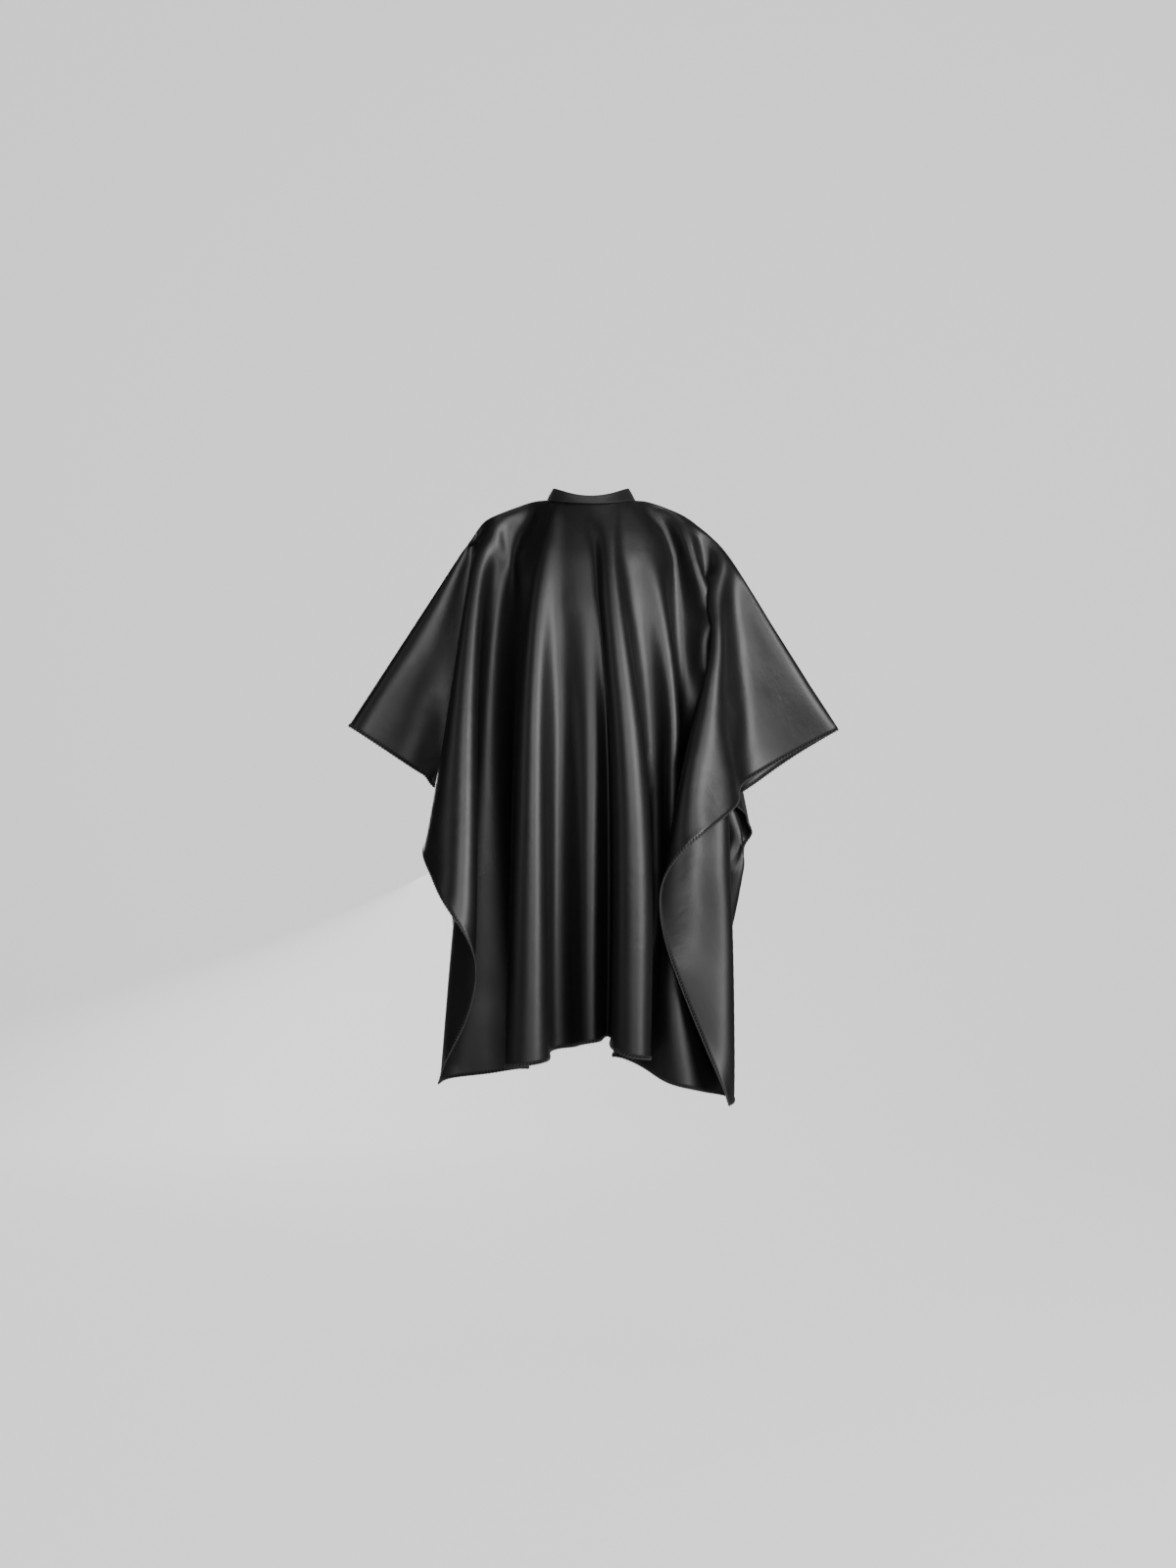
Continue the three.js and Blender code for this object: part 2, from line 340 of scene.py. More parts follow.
class Effects:
    """The shader node groups that the finishes share."""

    def __init__(self) -> None:
        """Builds each group once."""
        self.weave = self._weave()
        self.handling = self._handling()
        self.lint = self._lint()
        self.twist = self._twist()

    @staticmethod
    def _group(
        name: str, inputs: dict[str, float | None], outputs: Sequence[str]
    ) -> tuple[Nodes, dict[str, bpy.types.NodeSocket], dict[str, bpy.types.NodeSocket]]:
        """Starts a node group with named sockets.

        Args:
            name: Name of the group.
            inputs: Names and start values; None stands for a vector.
            outputs: Names of the values it puts out.

        Returns:
            The group's tree, its inputs and its outputs.
        """
        tree = bpy.data.node_groups.new(name, "ShaderNodeTree")
        for key, value in inputs.items():
            kind = "NodeSocketVector" if value is None else "NodeSocketFloat"
            socket = tree.interface.new_socket(key, in_out="INPUT", socket_type=kind)
            if value is not None:
                socket.default_value = value
        for key in outputs:
            tree.interface.new_socket(key, in_out="OUTPUT", socket_type="NodeSocketFloat")
        nodes = Nodes(tree)
        start = tree.nodes.new("NodeGroupInput")
        end = tree.nodes.new("NodeGroupOutput")
        return nodes, dict(start.outputs.items()), dict(end.inputs.items())

    def _weave(self) -> bpy.types.NodeTree:
        """A satin weave: long warp floats, each tied down once, a few threads apart.

        Returns:
            The group's tree.
        """
        nodes, given, out = self._group(
            "satin weave", {"Vector": None, "Threads": 2400.0}, ["Height", "Tone"]
        )
        split = nodes.add("SeparateXYZ")
        nodes.put(split.inputs[0], given["Vector"])
        turn = nodes.math("MULTIPLY", given["Threads"], math.tau)
        across = nodes.math("MULTIPLY", split.outputs[0], turn)
        along = nodes.math("MULTIPLY", split.outputs[1], turn)
        warp = nodes.math("ABSOLUTE", nodes.math("SINE", nodes.math("MULTIPLY", across, 0.5)))
        shifted = nodes.math("ADD", nodes.math("MULTIPLY", across, 0.4), along)
        tie = nodes.math("SINE", nodes.math("MULTIPLY", shifted, 0.2))
        tied = nodes.between(tie, 0.8, 1.0)
        nodes.put(out["Height"], nodes.math("SUBTRACT", warp, tied))
        nodes.put(out["Tone"], nodes.math("MULTIPLY", tied, 0.5))
        return nodes.tree

    def _handling(self) -> bpy.types.NodeTree:
        """Soft waves and short creases that folding and wearing leave in thin cloth.

        Returns:
            The group's tree.
        """
        nodes, given, out = self._group(
            "handling marks", {"Vector": None, "Size": 1.0}, ["Waves", "Creases"]
        )
        sized = nodes.add("VectorMath", operation="SCALE")
        nodes.put(sized.inputs[0], given["Vector"])
        nodes.put(sized.inputs["Scale"], given["Size"])
        long_way = nodes.scaled(sized.outputs[0], (1.0, 0.32, 1.0))
        nodes.put(out["Waves"], nodes.noise(long_way, 34.0, 3.0, 0.4))
        slanted = nodes.scaled(sized.outputs[0], (0.6, 1.0, 1.0), (0.0, 0.0, 0.5))
        fine = nodes.noise(slanted, 70.0, 2.0, 0.2)
        zones = nodes.between(nodes.noise(sized.outputs[0], 6.0, 2.0), 0.5, 0.68)
        nodes.put(out["Creases"], nodes.math("MULTIPLY", fine, zones))
        return nodes.tree

    def _lint(self) -> bpy.types.NodeTree:
        """Specks of dust and short fibres, thin on the ground.

        Returns:
            The group's tree.
        """
        nodes, given, out = self._group("lint", {"Vector": None, "Amount": 0.5}, ["Mask"])
        specks = nodes.add("TexVoronoi", feature="F1")
        nodes.put(specks.inputs["Vector"], given["Vector"])
        specks.inputs["Scale"].default_value = 210.0
        dots = nodes.between(specks.outputs["Distance"], 0.12, 0.05)
        patch = nodes.between(nodes.noise(given["Vector"], 9.0, 2.0), 0.55, 0.75)
        both = nodes.math("MULTIPLY", dots, patch)
        nodes.put(out["Mask"], nodes.math("MULTIPLY", both, given["Amount"]))
        return nodes.tree

    def _twist(self) -> bpy.types.NodeTree:
        """The plies of spun thread, on the slant.

        Returns:
            The group's tree.
        """
        nodes, given, out = self._group("thread twist", {"Vector": None, "Pitch": 900.0}, ["Height"])
        split = nodes.add("SeparateXYZ")
        nodes.put(split.inputs[0], given["Vector"])
        slant = nodes.math("ADD", split.outputs[0], split.outputs[2])
        slant = nodes.math("ADD", slant, nodes.math("MULTIPLY", split.outputs[1], 0.7))
        turn = nodes.math("MULTIPLY", given["Pitch"], math.tau)
        nodes.put(out["Height"], nodes.math("SINE", nodes.math("MULTIPLY", slant, turn)))
        return nodes.tree


@dataclass(frozen=True)
class ClothFinish:
    """Dyed woven cloth: satin for the cape, closer plain cloth for its band.

    Attributes:
        name: Name of the material.
        dye: Colour of the cloth.
        faded: Colour where handling has paled it.
        roughness: Lowest and highest roughness over the surface.
        threads: Threads per metre.
        shine: Specular level.
        sheen: Weight of the soft bloom at grazing angles.
        wave_depth: Height of the soft waves.
        crease_depth: Height of the short creases.
        thread_depth: Height of the weave.
        lint: How much lint shows.
    """

    name: str
    dye: Colour
    faded: Colour
    roughness: tuple[float, float]
    threads: float
    shine: float
    sheen: float
    wave_depth: float
    crease_depth: float
    thread_depth: float
    lint: float

    def make(self, effects: Effects) -> bpy.types.Material:
        """Builds the material.

        Args:
            effects: The shared node groups.

        Returns:
            The material.
        """
        material, nodes, shader = new_material(self.name)
        flat = nodes.add("UVMap", uv_map=FLAT_MAP).outputs[0]
        weave = placed(nodes, effects.weave, flat, Threads=self.threads)
        marks = placed(nodes, effects.handling, flat, Size=1.0)
        lint = placed(nodes, effects.lint, flat, Amount=self.lint)
        tone = nodes.math("MULTIPLY", marks["Waves"], 0.55)
        tone = nodes.math("ADD", tone, weave["Tone"])
        colour = nodes.mix(nodes.math("MULTIPLY", tone, 0.5), self.dye, self.faded)
        colour = nodes.mix(lint["Mask"], colour, LINT_COLOUR)
        nodes.put(shader.inputs["Base Color"], colour)
        spread = self.roughness[1] - self.roughness[0]
        rough = nodes.math("MULTIPLY_ADD", marks["Waves"], spread, self.roughness[0])
        nodes.put(shader.inputs["Roughness"], rough)
        height = nodes.math("MULTIPLY", marks["Waves"], self.wave_depth)
        height = nodes.math("MULTIPLY_ADD", marks["Creases"], self.crease_depth, height)
        height = nodes.math("MULTIPLY_ADD", weave["Height"], self.thread_depth, height)
        add_bump(nodes, shader, height)
        shader.inputs["Specular IOR Level"].default_value = self.shine
        shader.inputs["Sheen Weight"].default_value = self.sheen
        shader.inputs["Sheen Roughness"].default_value = 0.45
        return material


@dataclass(frozen=True)
class ThreadFinish:
    """Spun polyester sewing thread, with a painted highlight on the crests of its plies and painted shade
    in the grooves between them.

    Attributes:
        name: Name of the material.
        dye: Colour of the thread.
        fuzz_and_highlight: Paler grey painted on the crests of the plies as a highlight, and the colour of
            the stray fibres that stand off it.
    """

    name: str
    dye: Colour
    fuzz_and_highlight: Colour

    def make(self, effects: Effects) -> bpy.types.Material:
        """Builds the material.

        Args:
            effects: The shared node groups.

        Returns:
            The material.
        """
        material, nodes, shader = new_material(self.name)
        place = nodes.add("TexCoord").outputs["Object"]
        twist = placed(nodes, effects.twist, place, Pitch=900.0)
        lint = placed(nodes, effects.lint, place, Amount=0.4)
        # The paler grey is painted on the crests of the plies as a highlight, and the dark dye is left in
        # the grooves between them as painted shade.
        shade = nodes.between(twist["Height"], -1.0, 1.6)
        colour = nodes.mix(shade, self.dye, self.fuzz_and_highlight)
        nodes.put(shader.inputs["Base Color"], nodes.mix(lint["Mask"], colour, self.fuzz_and_highlight))
        rough = nodes.math("MULTIPLY_ADD", shade, 0.12, 0.58)
        nodes.put(shader.inputs["Roughness"], rough)
        add_bump(nodes, shader, nodes.math("MULTIPLY", twist["Height"], 0.00006))
        shader.inputs["Specular IOR Level"].default_value = 0.35
        return material


@dataclass(frozen=True)
class MetalFinish:
    """Nickel-plated snap metal with fine turning marks and handling scuffs.

    Attributes:
        name: Name of the material.
        plate: Colour of the plating.
        worn: Colour where the plating has worn.
        roughness: Roughness of the plating between scuffs.
    """

    name: str
    plate: Colour
    worn: Colour
    roughness: float

    def make(self, effects: Effects) -> bpy.types.Material:
        """Builds the material.

        Args:
            effects: The shared node groups.

        Returns:
            The material.
        """
        material, nodes, shader = new_material(self.name)
        place = nodes.add("TexCoord").outputs["Object"]
        scuffs = nodes.noise(nodes.scaled(place, (1.0, 1.0, 0.25)), 900.0, 5.0, 0.6)
        patches = nodes.between(nodes.noise(place, 260.0, 3.0), 0.48, 0.72)
        lint = placed(nodes, effects.lint, place, Amount=0.5)
        colour = nodes.mix(patches, self.plate, self.worn)
        nodes.put(shader.inputs["Base Color"], nodes.mix(lint["Mask"], colour, self.worn))
        rough = nodes.math("MULTIPLY_ADD", scuffs, 0.22, self.roughness)
        nodes.put(shader.inputs["Roughness"], rough)
        add_bump(nodes, shader, nodes.math("MULTIPLY", scuffs, 0.00002))
        shader.inputs["Metallic"].default_value = 1.0
        return material


@dataclass(frozen=True)
class FloorFinish:
    """Pale matt floor and backdrop.

    Attributes:
        name: Name of the material.
        paint: Colour of the paint.
        glow: How much paler it looks to the camera than its paint.
    """

    name: str
    paint: Colour
    glow: float

    def make(self) -> bpy.types.Material:
        """Builds the material, without any shared effect.

        Returns:
            The material.
        """
        material, nodes, shader = new_material(self.name)
        seen = nodes.add("LightPath").outputs["Is Camera Ray"]
        shader.inputs["Base Color"].default_value = self.paint
        shader.inputs["Roughness"].default_value = 0.9
        shader.inputs["Emission Color"].default_value = (1.0, 1.0, 1.0, 1.0)
        nodes.put(shader.inputs["Emission Strength"], nodes.math("MULTIPLY", seen, self.glow))
        return material


def new_material(name: str) -> tuple[bpy.types.Material, Nodes, bpy.types.Node]:
    """Starts a material with its Principled shader.

    Args:
        name: Name of the material.

    Returns:
        The material, its nodes and the shader.
    """
    material = bpy.data.materials.new(name)
    material.use_nodes = True
    shader = material.node_tree.nodes["Principled BSDF"]
    return material, Nodes(material.node_tree), shader


def placed(
    nodes: Nodes, group: bpy.types.NodeTree, place: object, **values: float
) -> dict[str, bpy.types.NodeSocket]:
    """Places a shared effect in a material.

    Args:
        nodes: The material's nodes.
        group: The effect's node group.
        place: The coordinates it reads.
        **values: Values of its other inputs.

    Returns:
        Its outputs by name.
    """
    node = nodes.add("Group", node_tree=group)
    nodes.put(node.inputs["Vector"], place)
    for name, value in values.items():
        node.inputs[name].default_value = value
    return dict(node.outputs.items())


def add_bump(nodes: Nodes, shader: bpy.types.Node, height: object) -> None:
    """Feeds a height in metres to a shader's normal.

    Args:
        nodes: The material's nodes.
        shader: The Principled shader.
        height: The height socket.
    """
    bump = nodes.add("Bump")
    bump.inputs["Strength"].default_value = 1.0
    bump.inputs["Distance"].default_value = 1.0
    nodes.put(bump.inputs["Height"], height)
    nodes.put(shader.inputs["Normal"], bump.outputs[0])


SATIN = ClothFinish(
    name="black_satin",
    dye=(0.0045, 0.0045, 0.005, 1.0),
    faded=(0.010, 0.010, 0.011, 1.0),
    roughness=(0.38, 0.48),
    threads=2400.0,
    shine=0.5,
    sheen=0.0,
    wave_depth=0.0004,
    crease_depth=0.0006,
    thread_depth=0.000012,
    lint=0.10,
)
BAND_CLOTH = ClothFinish(
    name="black_band_cloth",
    dye=(0.0065, 0.0065, 0.007, 1.0),
    faded=(0.013, 0.013, 0.014, 1.0),
    roughness=(0.46, 0.58),
    threads=1700.0,
    shine=0.36,
    sheen=0.05,
    wave_depth=0.0005,
    crease_depth=0.0003,
    thread_depth=0.00002,
    lint=0.12,
)
LABEL_CLOTH = ClothFinish(
    name="white_label_tape",
    dye=(0.72, 0.71, 0.68, 1.0),
    faded=(0.62, 0.60, 0.56, 1.0),
    roughness=(0.5, 0.66),
    threads=1500.0,
    shine=0.3,
    sheen=0.1,
    wave_depth=0.0004,
    crease_depth=0.0001,
    thread_depth=0.00003,
    lint=0.05,
)
# Its paler grey is both stray fibres and a painted highlight on the crests of the plies.
BLACK_THREAD = ThreadFinish(
    name="black_thread", dye=(0.016, 0.016, 0.017, 1.0), fuzz_and_highlight=(0.11, 0.11, 0.112, 1.0)
)
SNAP_METAL = MetalFinish(
    name="nickel_plate", plate=(0.62, 0.61, 0.59, 1.0), worn=(0.40, 0.37, 0.32, 1.0), roughness=0.2
)
BACKDROP = FloorFinish(name="pale_backdrop", paint=(0.3, 0.3, 0.3, 1.0), glow=1.0)


# --- the neck band's shape


@dataclass(frozen=True)
class BandSection:
    """The neck band at one place round the ring.

    Attributes:
        dip: How far its top edge lies below the shoulders.
        height: Its own height.
        flare: How far its lower seam stands out from its top edge.
    """

    dip: float
    height: float
    flare: float


@dataclass(frozen=True)
class BandShape:
    """The stiffened band round the neck, with one end lapped over the other behind.

    Attributes:
        half_width: Half width of the ring at its top edge.
        half_depth: Half depth of the ring at its top edge.
        side: Its section over the shoulders.
        front: Its section at the throat.
        back: Its section at the nape.
        wall: Thickness of its sewn layers together.
        slit_angle: Where its right half reaches the slit, in degrees from the front.
        left_end_angle: Where its left half ends.
        tab_end_angle: Where the tab ends, lapped over the left half.
        tab_margin: How much narrower the tab is at each edge.
        overlap_rise: How far out the tab rides.
        rise_start_angle: Where the right half starts to move outwards.
    """

    half_width: float = 0.062
    half_depth: float = 0.052
    side: BandSection = BandSection(0.0, 0.023, 0.012)
    front: BandSection = BandSection(0.019, 0.015, 0.015)
    back: BandSection = BandSection(0.010, 0.021, 0.008)
    wall: float = 0.003
    slit_angle: float = 178.0
    left_end_angle: float = -181.0
    tab_end_angle: float = 228.0
    tab_margin: float = 0.0015
    overlap_rise: float = 0.0078
    rise_start_angle: float = 120.0

    def rise(self, angle: float) -> float:
        """How far the band has moved outwards at an angle, to pass over its other end."""
        return self.overlap_rise * smooth_step(angle, self.rise_start_angle, self.slit_angle)

    def section(self, angle: float) -> BandSection:
        """The band's section at one place round the ring.

        Args:
            angle: Degrees from the front.

        Returns:
            Its dip, height and flare there.
        """
        south = math.cos(math.radians(angle))
        end = self.front if south > 0 else self.back
        share = south * south

        def between(low: float, high: float) -> float:
            """Reads between the side's value and the end's."""
            return low + (high - low) * share

        return BandSection(
            between(self.side.dip, end.dip),
            between(self.side.height, end.height),
            end.flare,
        )

    def point(self, angle: float, down: float, out: float = 0.0) -> np.ndarray:
        """A point of the band.

        Args:
            angle: Degrees from the front towards +X.
            down: 0 at the top edge, 1 at the lower seam.
            out: Distance outwards from the middle of its wall.

        Returns:
            The point.
        """
        turn = math.radians(angle)
        east, south = math.sin(turn), math.cos(turn)
        at = self.section(angle)
        x = (self.half_width + self.side.flare * down + out) * east
        y = -(self.half_depth + at.flare * down + out) * south
        return np.array([x, y, -at.dip - at.height * down])

    def lapped(self, angle: float, down: float, out: float = 0.0) -> np.ndarray:
        """A point of the band where it has moved outwards over its other end."""
        return self.point(angle, down, out + self.rise(angle))

    def normal(self, angle: float) -> np.ndarray:
        """The band's outward normal at the middle of its height.

        Args:
            angle: Degrees from the front.

        Returns:
            The normal, at length one.
        """
        along = self.point(angle + 1, 0.5) - self.point(angle - 1, 0.5)
        down = self.point(angle, 1.0) - self.point(angle, 0.0)
        normal = unit(np.cross(along, down))
        middle = self.point(angle, 0.5)
        return normal if normal[0] * middle[0] + normal[1] * middle[1] > 0 else -normal

    def tab_height(self, angle: float) -> float:
        """Height of the tab's middle over the middle of the band under it."""
        reach = self.point(angle, 0.5, self.overlap_rise) - self.point(angle, 0.5)
        return float(reach @ self.normal(angle))


# --- the cut and its folds


class Start(Enum):
    """Where a fold line starts."""

    LEFT_SHOULDER = -1
    RIGHT_SHOULDER = 1
    NECK_SEAM = 0


@dataclass(frozen=True)
class FoldLine:
    """A crest or hollow that runs from a shoulder or the neck down to the hem.

    Attributes:
        start: Where it starts.
        course: Shares of its length and the places it passes there.
        hem: Where it meets the hem in the flat cut.
        seam_angle: For a line from the neck, its place round the hole, 0 at the throat.
    """

    start: Start
    course: tuple[tuple[float, Point], ...]
    hem: FlatPoint
    seam_angle: float = 0.0


LEFT, RIGHT, NECK = Start.LEFT_SHOULDER, Start.RIGHT_SHOULDER, Start.NECK_SEAM
LEFT_TIP: Point = (-0.404, 0.0, -0.393)
RIGHT_TIP: Point = (0.4155, 0.0, -0.3975)

FRONT_FOLDS = (
    FoldLine(LEFT, ((1.0, LEFT_TIP),), (-0.611, 0.0)),
    FoldLine(LEFT, ((0.5, (-0.223, 0.0, -0.29)), (1.0, (-0.254, 0.015, -0.465))), (-0.611, -0.19)),
    FoldLine(LEFT, ((0.48, (-0.223, -0.1, -0.333)), (1.0, (-0.243, -0.14, -0.66))), (-0.611, -0.465)),
    FoldLine(LEFT, ((0.43, (-0.177, -0.125, -0.365)), (1.0, (-0.179, -0.165, -0.777))), (-0.611, -0.62)),
    FoldLine(LEFT, ((0.43, (-0.195, -0.085, -0.395)), (1.0, (-0.195, -0.1, -0.858))), (-0.611, -0.73)),
    FoldLine(LEFT, ((0.42, (-0.212, -0.045, -0.426)), (1.0, (-0.244, -0.05, -0.938))), (-0.611, -0.84)),
    FoldLine(LEFT, ((0.45, (-0.153, -0.04, -0.426)), (1.0, (-0.118, -0.035, -0.95))), (-0.43, -0.911)),
    FoldLine(
        NECK,
        ((0.19, (-0.087, -0.09, -0.174)), (0.5, (-0.106, -0.135, -0.475)), (1.0, (-0.131, -0.15, -0.952))),
        (-0.295, -0.911),
        -90.0,
    ),
    FoldLine(
        NECK,
        ((0.19, (-0.065, -0.105, -0.175)), (0.5, (-0.065, -0.14, -0.475)), (1.0, (-0.071, -0.155, -0.937))),
        (-0.23, -0.911),
        -70.0,
    ),
    FoldLine(
        NECK,
        ((0.19, (-0.044, -0.112, -0.176)), (0.5, (-0.049, -0.115, -0.491)), (1.0, (-0.046, -0.08, -0.907))),
        (-0.13, -0.911),
        -45.0,
    ),
    FoldLine(
        NECK,
        ((0.19, (-0.005, -0.118, -0.177)), (0.5, (-0.005, -0.142, -0.444)), (1.0, (-0.005, -0.12, -0.888))),
        (-0.06, -0.911),
        -8.0,
    ),
    FoldLine(
        NECK,
        ((0.19, (0.027, -0.115, -0.176)), (0.5, (0.028, -0.12, -0.459)), (1.0, (0.022, -0.085, -0.89))),
        (-0.005, -0.911),
        20.0,
    ),
    FoldLine(
        NECK,
        ((0.19, (0.058, -0.11, -0.176)), (0.5, (0.058, -0.142, -0.475)), (1.0, (0.033, -0.16, -0.921))),
        (0.085, -0.911),
        60.0,
    ),
    FoldLine(
        NECK,
        ((0.19, (0.077, -0.095, -0.174)), (0.5, (0.1, -0.132, -0.475)), (1.0, (0.088, -0.155, -0.933))),
        (0.15, -0.911),
        90.0,
    ),
    FoldLine(
        RIGHT,
        ((0.19, (0.163, -0.06, -0.235)), (0.5, (0.117, -0.06, -0.491)), (1.0, (0.037, -0.035, -0.942))),
        (0.3, -0.911),
    ),
    FoldLine(
        RIGHT,
        ((0.3, (0.201, -0.04, -0.314)), (0.5, (0.223, -0.045, -0.523)), (1.0, (0.247, -0.07, -0.985))),
        (0.611, -0.87),
    ),
    FoldLine(RIGHT, ((0.5, (0.195, -0.06, -0.49)), (1.0, (0.152, -0.08, -0.915))), (0.611, -0.76)),
    FoldLine(RIGHT, ((0.5, (0.17, -0.085, -0.42)), (1.0, (0.103, -0.095, -0.782))), (0.611, -0.6)),
    FoldLine(RIGHT, ((0.5, (0.15, -0.115, -0.36)), (1.0, (0.1, -0.165, -0.656))), (0.611, -0.468)),
    FoldLine(RIGHT, ((0.5, (0.213, -0.075, -0.316)), (1.0, (0.226, -0.12, -0.546))), (0.611, -0.3)),
    FoldLine(RIGHT, ((0.5, (0.233, -0.005, -0.279)), (1.0, (0.252, -0.005, -0.487))), (0.611, -0.18)),
    FoldLine(RIGHT, ((1.0, RIGHT_TIP),), (0.611, 0.0)),
)

BACK_FOLDS = (
    FoldLine(LEFT, ((1.0, LEFT_TIP),), (-0.611, 0.0)),
    FoldLine(LEFT, ((0.5, (-0.22, 0.02, -0.27)), (1.0, (-0.262, 0.045, -0.495))), (-0.611, 0.215)),
    FoldLine(LEFT, ((0.5, (-0.205, 0.085, -0.32)), (1.0, (-0.218, 0.152, -0.595))), (-0.611, 0.4)),
    FoldLine(LEFT, ((0.5, (-0.175, 0.1, -0.42)), (1.0, (-0.195, 0.1, -0.84))), (-0.611, 0.689)),
    FoldLine(LEFT, ((0.5, (-0.15, 0.055, -0.39)), (1.0, (-0.12, 0.05, -0.74))), (-0.4, 0.689)),
    FoldLine(NECK, ((0.5, (-0.1, 0.13, -0.38)), (1.0, (-0.105, 0.15, -0.72))), (-0.27, 0.689), -90.0),
    FoldLine(NECK, ((0.5, (-0.06, 0.105, -0.37)), (1.0, (-0.06, 0.09, -0.69))), (-0.14, 0.689), -135.0),
    FoldLine(NECK, ((0.5, (-0.003, 0.116, -0.36)), (1.0, (0.0, 0.125, -0.665))), (0.0, 0.689), 180.0),
    FoldLine(NECK, ((0.5, (0.07, 0.105, -0.37)), (1.0, (0.06, 0.09, -0.69))), (0.14, 0.689), 135.0),
    FoldLine(NECK, ((0.5, (0.115, 0.13, -0.38)), (1.0, (0.11, 0.15, -0.72))), (0.27, 0.689), 90.0),
    FoldLine(RIGHT, ((0.5, (0.165, 0.055, -0.4)), (1.0, (0.13, 0.05, -0.76))), (0.4, 0.689)),
    FoldLine(RIGHT, ((0.5, (0.19, 0.095, -0.45)), (1.0, (0.205, 0.1, -0.85))), (0.611, 0.689)),
    FoldLine(RIGHT, ((0.5, (0.222, 0.085, -0.34)), (1.0, (0.228, 0.145, -0.605))), (0.611, 0.4)),
    FoldLine(RIGHT, ((0.5, (0.226, 0.012, -0.29)), (1.0, (0.25, 0.025, -0.507))), (0.611, 0.215)),
    FoldLine(RIGHT, ((1.0, RIGHT_TIP),), (0.611, 0.0)),
)


@dataclass(frozen=True)
class Shoulder:
    """The ridge from the neck over one shoulder to the sleeve's tip.

    Attributes:
        course: Places from the band's seam to the shoulder point, as (x, z).
        tip: The tip of the hanging sleeve.
    """

    course: tuple[FlatPoint, ...]
    tip: FlatPoint

    def reaches(self) -> np.ndarray:
        """Distance along the ridge from the seam to each place of its course."""
        steps = [math.dist(a, b) for a, b in zip(self.course, self.course[1:])]
        return np.concatenate([[0.0], np.cumsum(steps)])


SHOULDERS = {
    -1: Shoulder(
        ((-0.074, -0.021), (-0.083, -0.0135), (-0.1, -0.0175), (-0.1434, -0.034), (-0.181, -0.05)),
        (LEFT_TIP[0], LEFT_TIP[2]),
    ),
    1: Shoulder(
        ((0.074, -0.021), (0.083, -0.0135), (0.101, -0.018), (0.158, -0.042), (0.202, -0.083)),
        (RIGHT_TIP[0], RIGHT_TIP[2]),
    ),
}


@dataclass
class CutGrid:
    """The cut laid flat as a grid of threads.

    Attributes:
        flat: Place of each crossing in the flat cut.
        faces: The cloth's faces, squares but for triangles at the hole.
        number: Crossing number by column and row.
        slit_copies: The right-hand copy of each crossing down the slit, by row.
        columns: Number of the last column.
        rows: Number of the last row.
    """

    flat: np.ndarray
    faces: list[list[int]]
    number: dict[tuple[int, int], int]
    slit_copies: dict[int, int]
    columns: int
    rows: int

    def at(self, column: int, row: int, side: int) -> int:
        """The crossing at a column and row, or -1.

        Args:
            column: Its column.
            row: Its row.
            side: 1 to read the slit's right-hand copy, -1 for its left.

        Returns:
            The crossing's number, or -1 where the cloth is cut away.
        """
        if (column, row) not in self.number:
            return -1
        if column == self.columns // 2 and side > 0 and row in self.slit_copies:
            return self.slit_copies[row]
        return self.number[column, row]


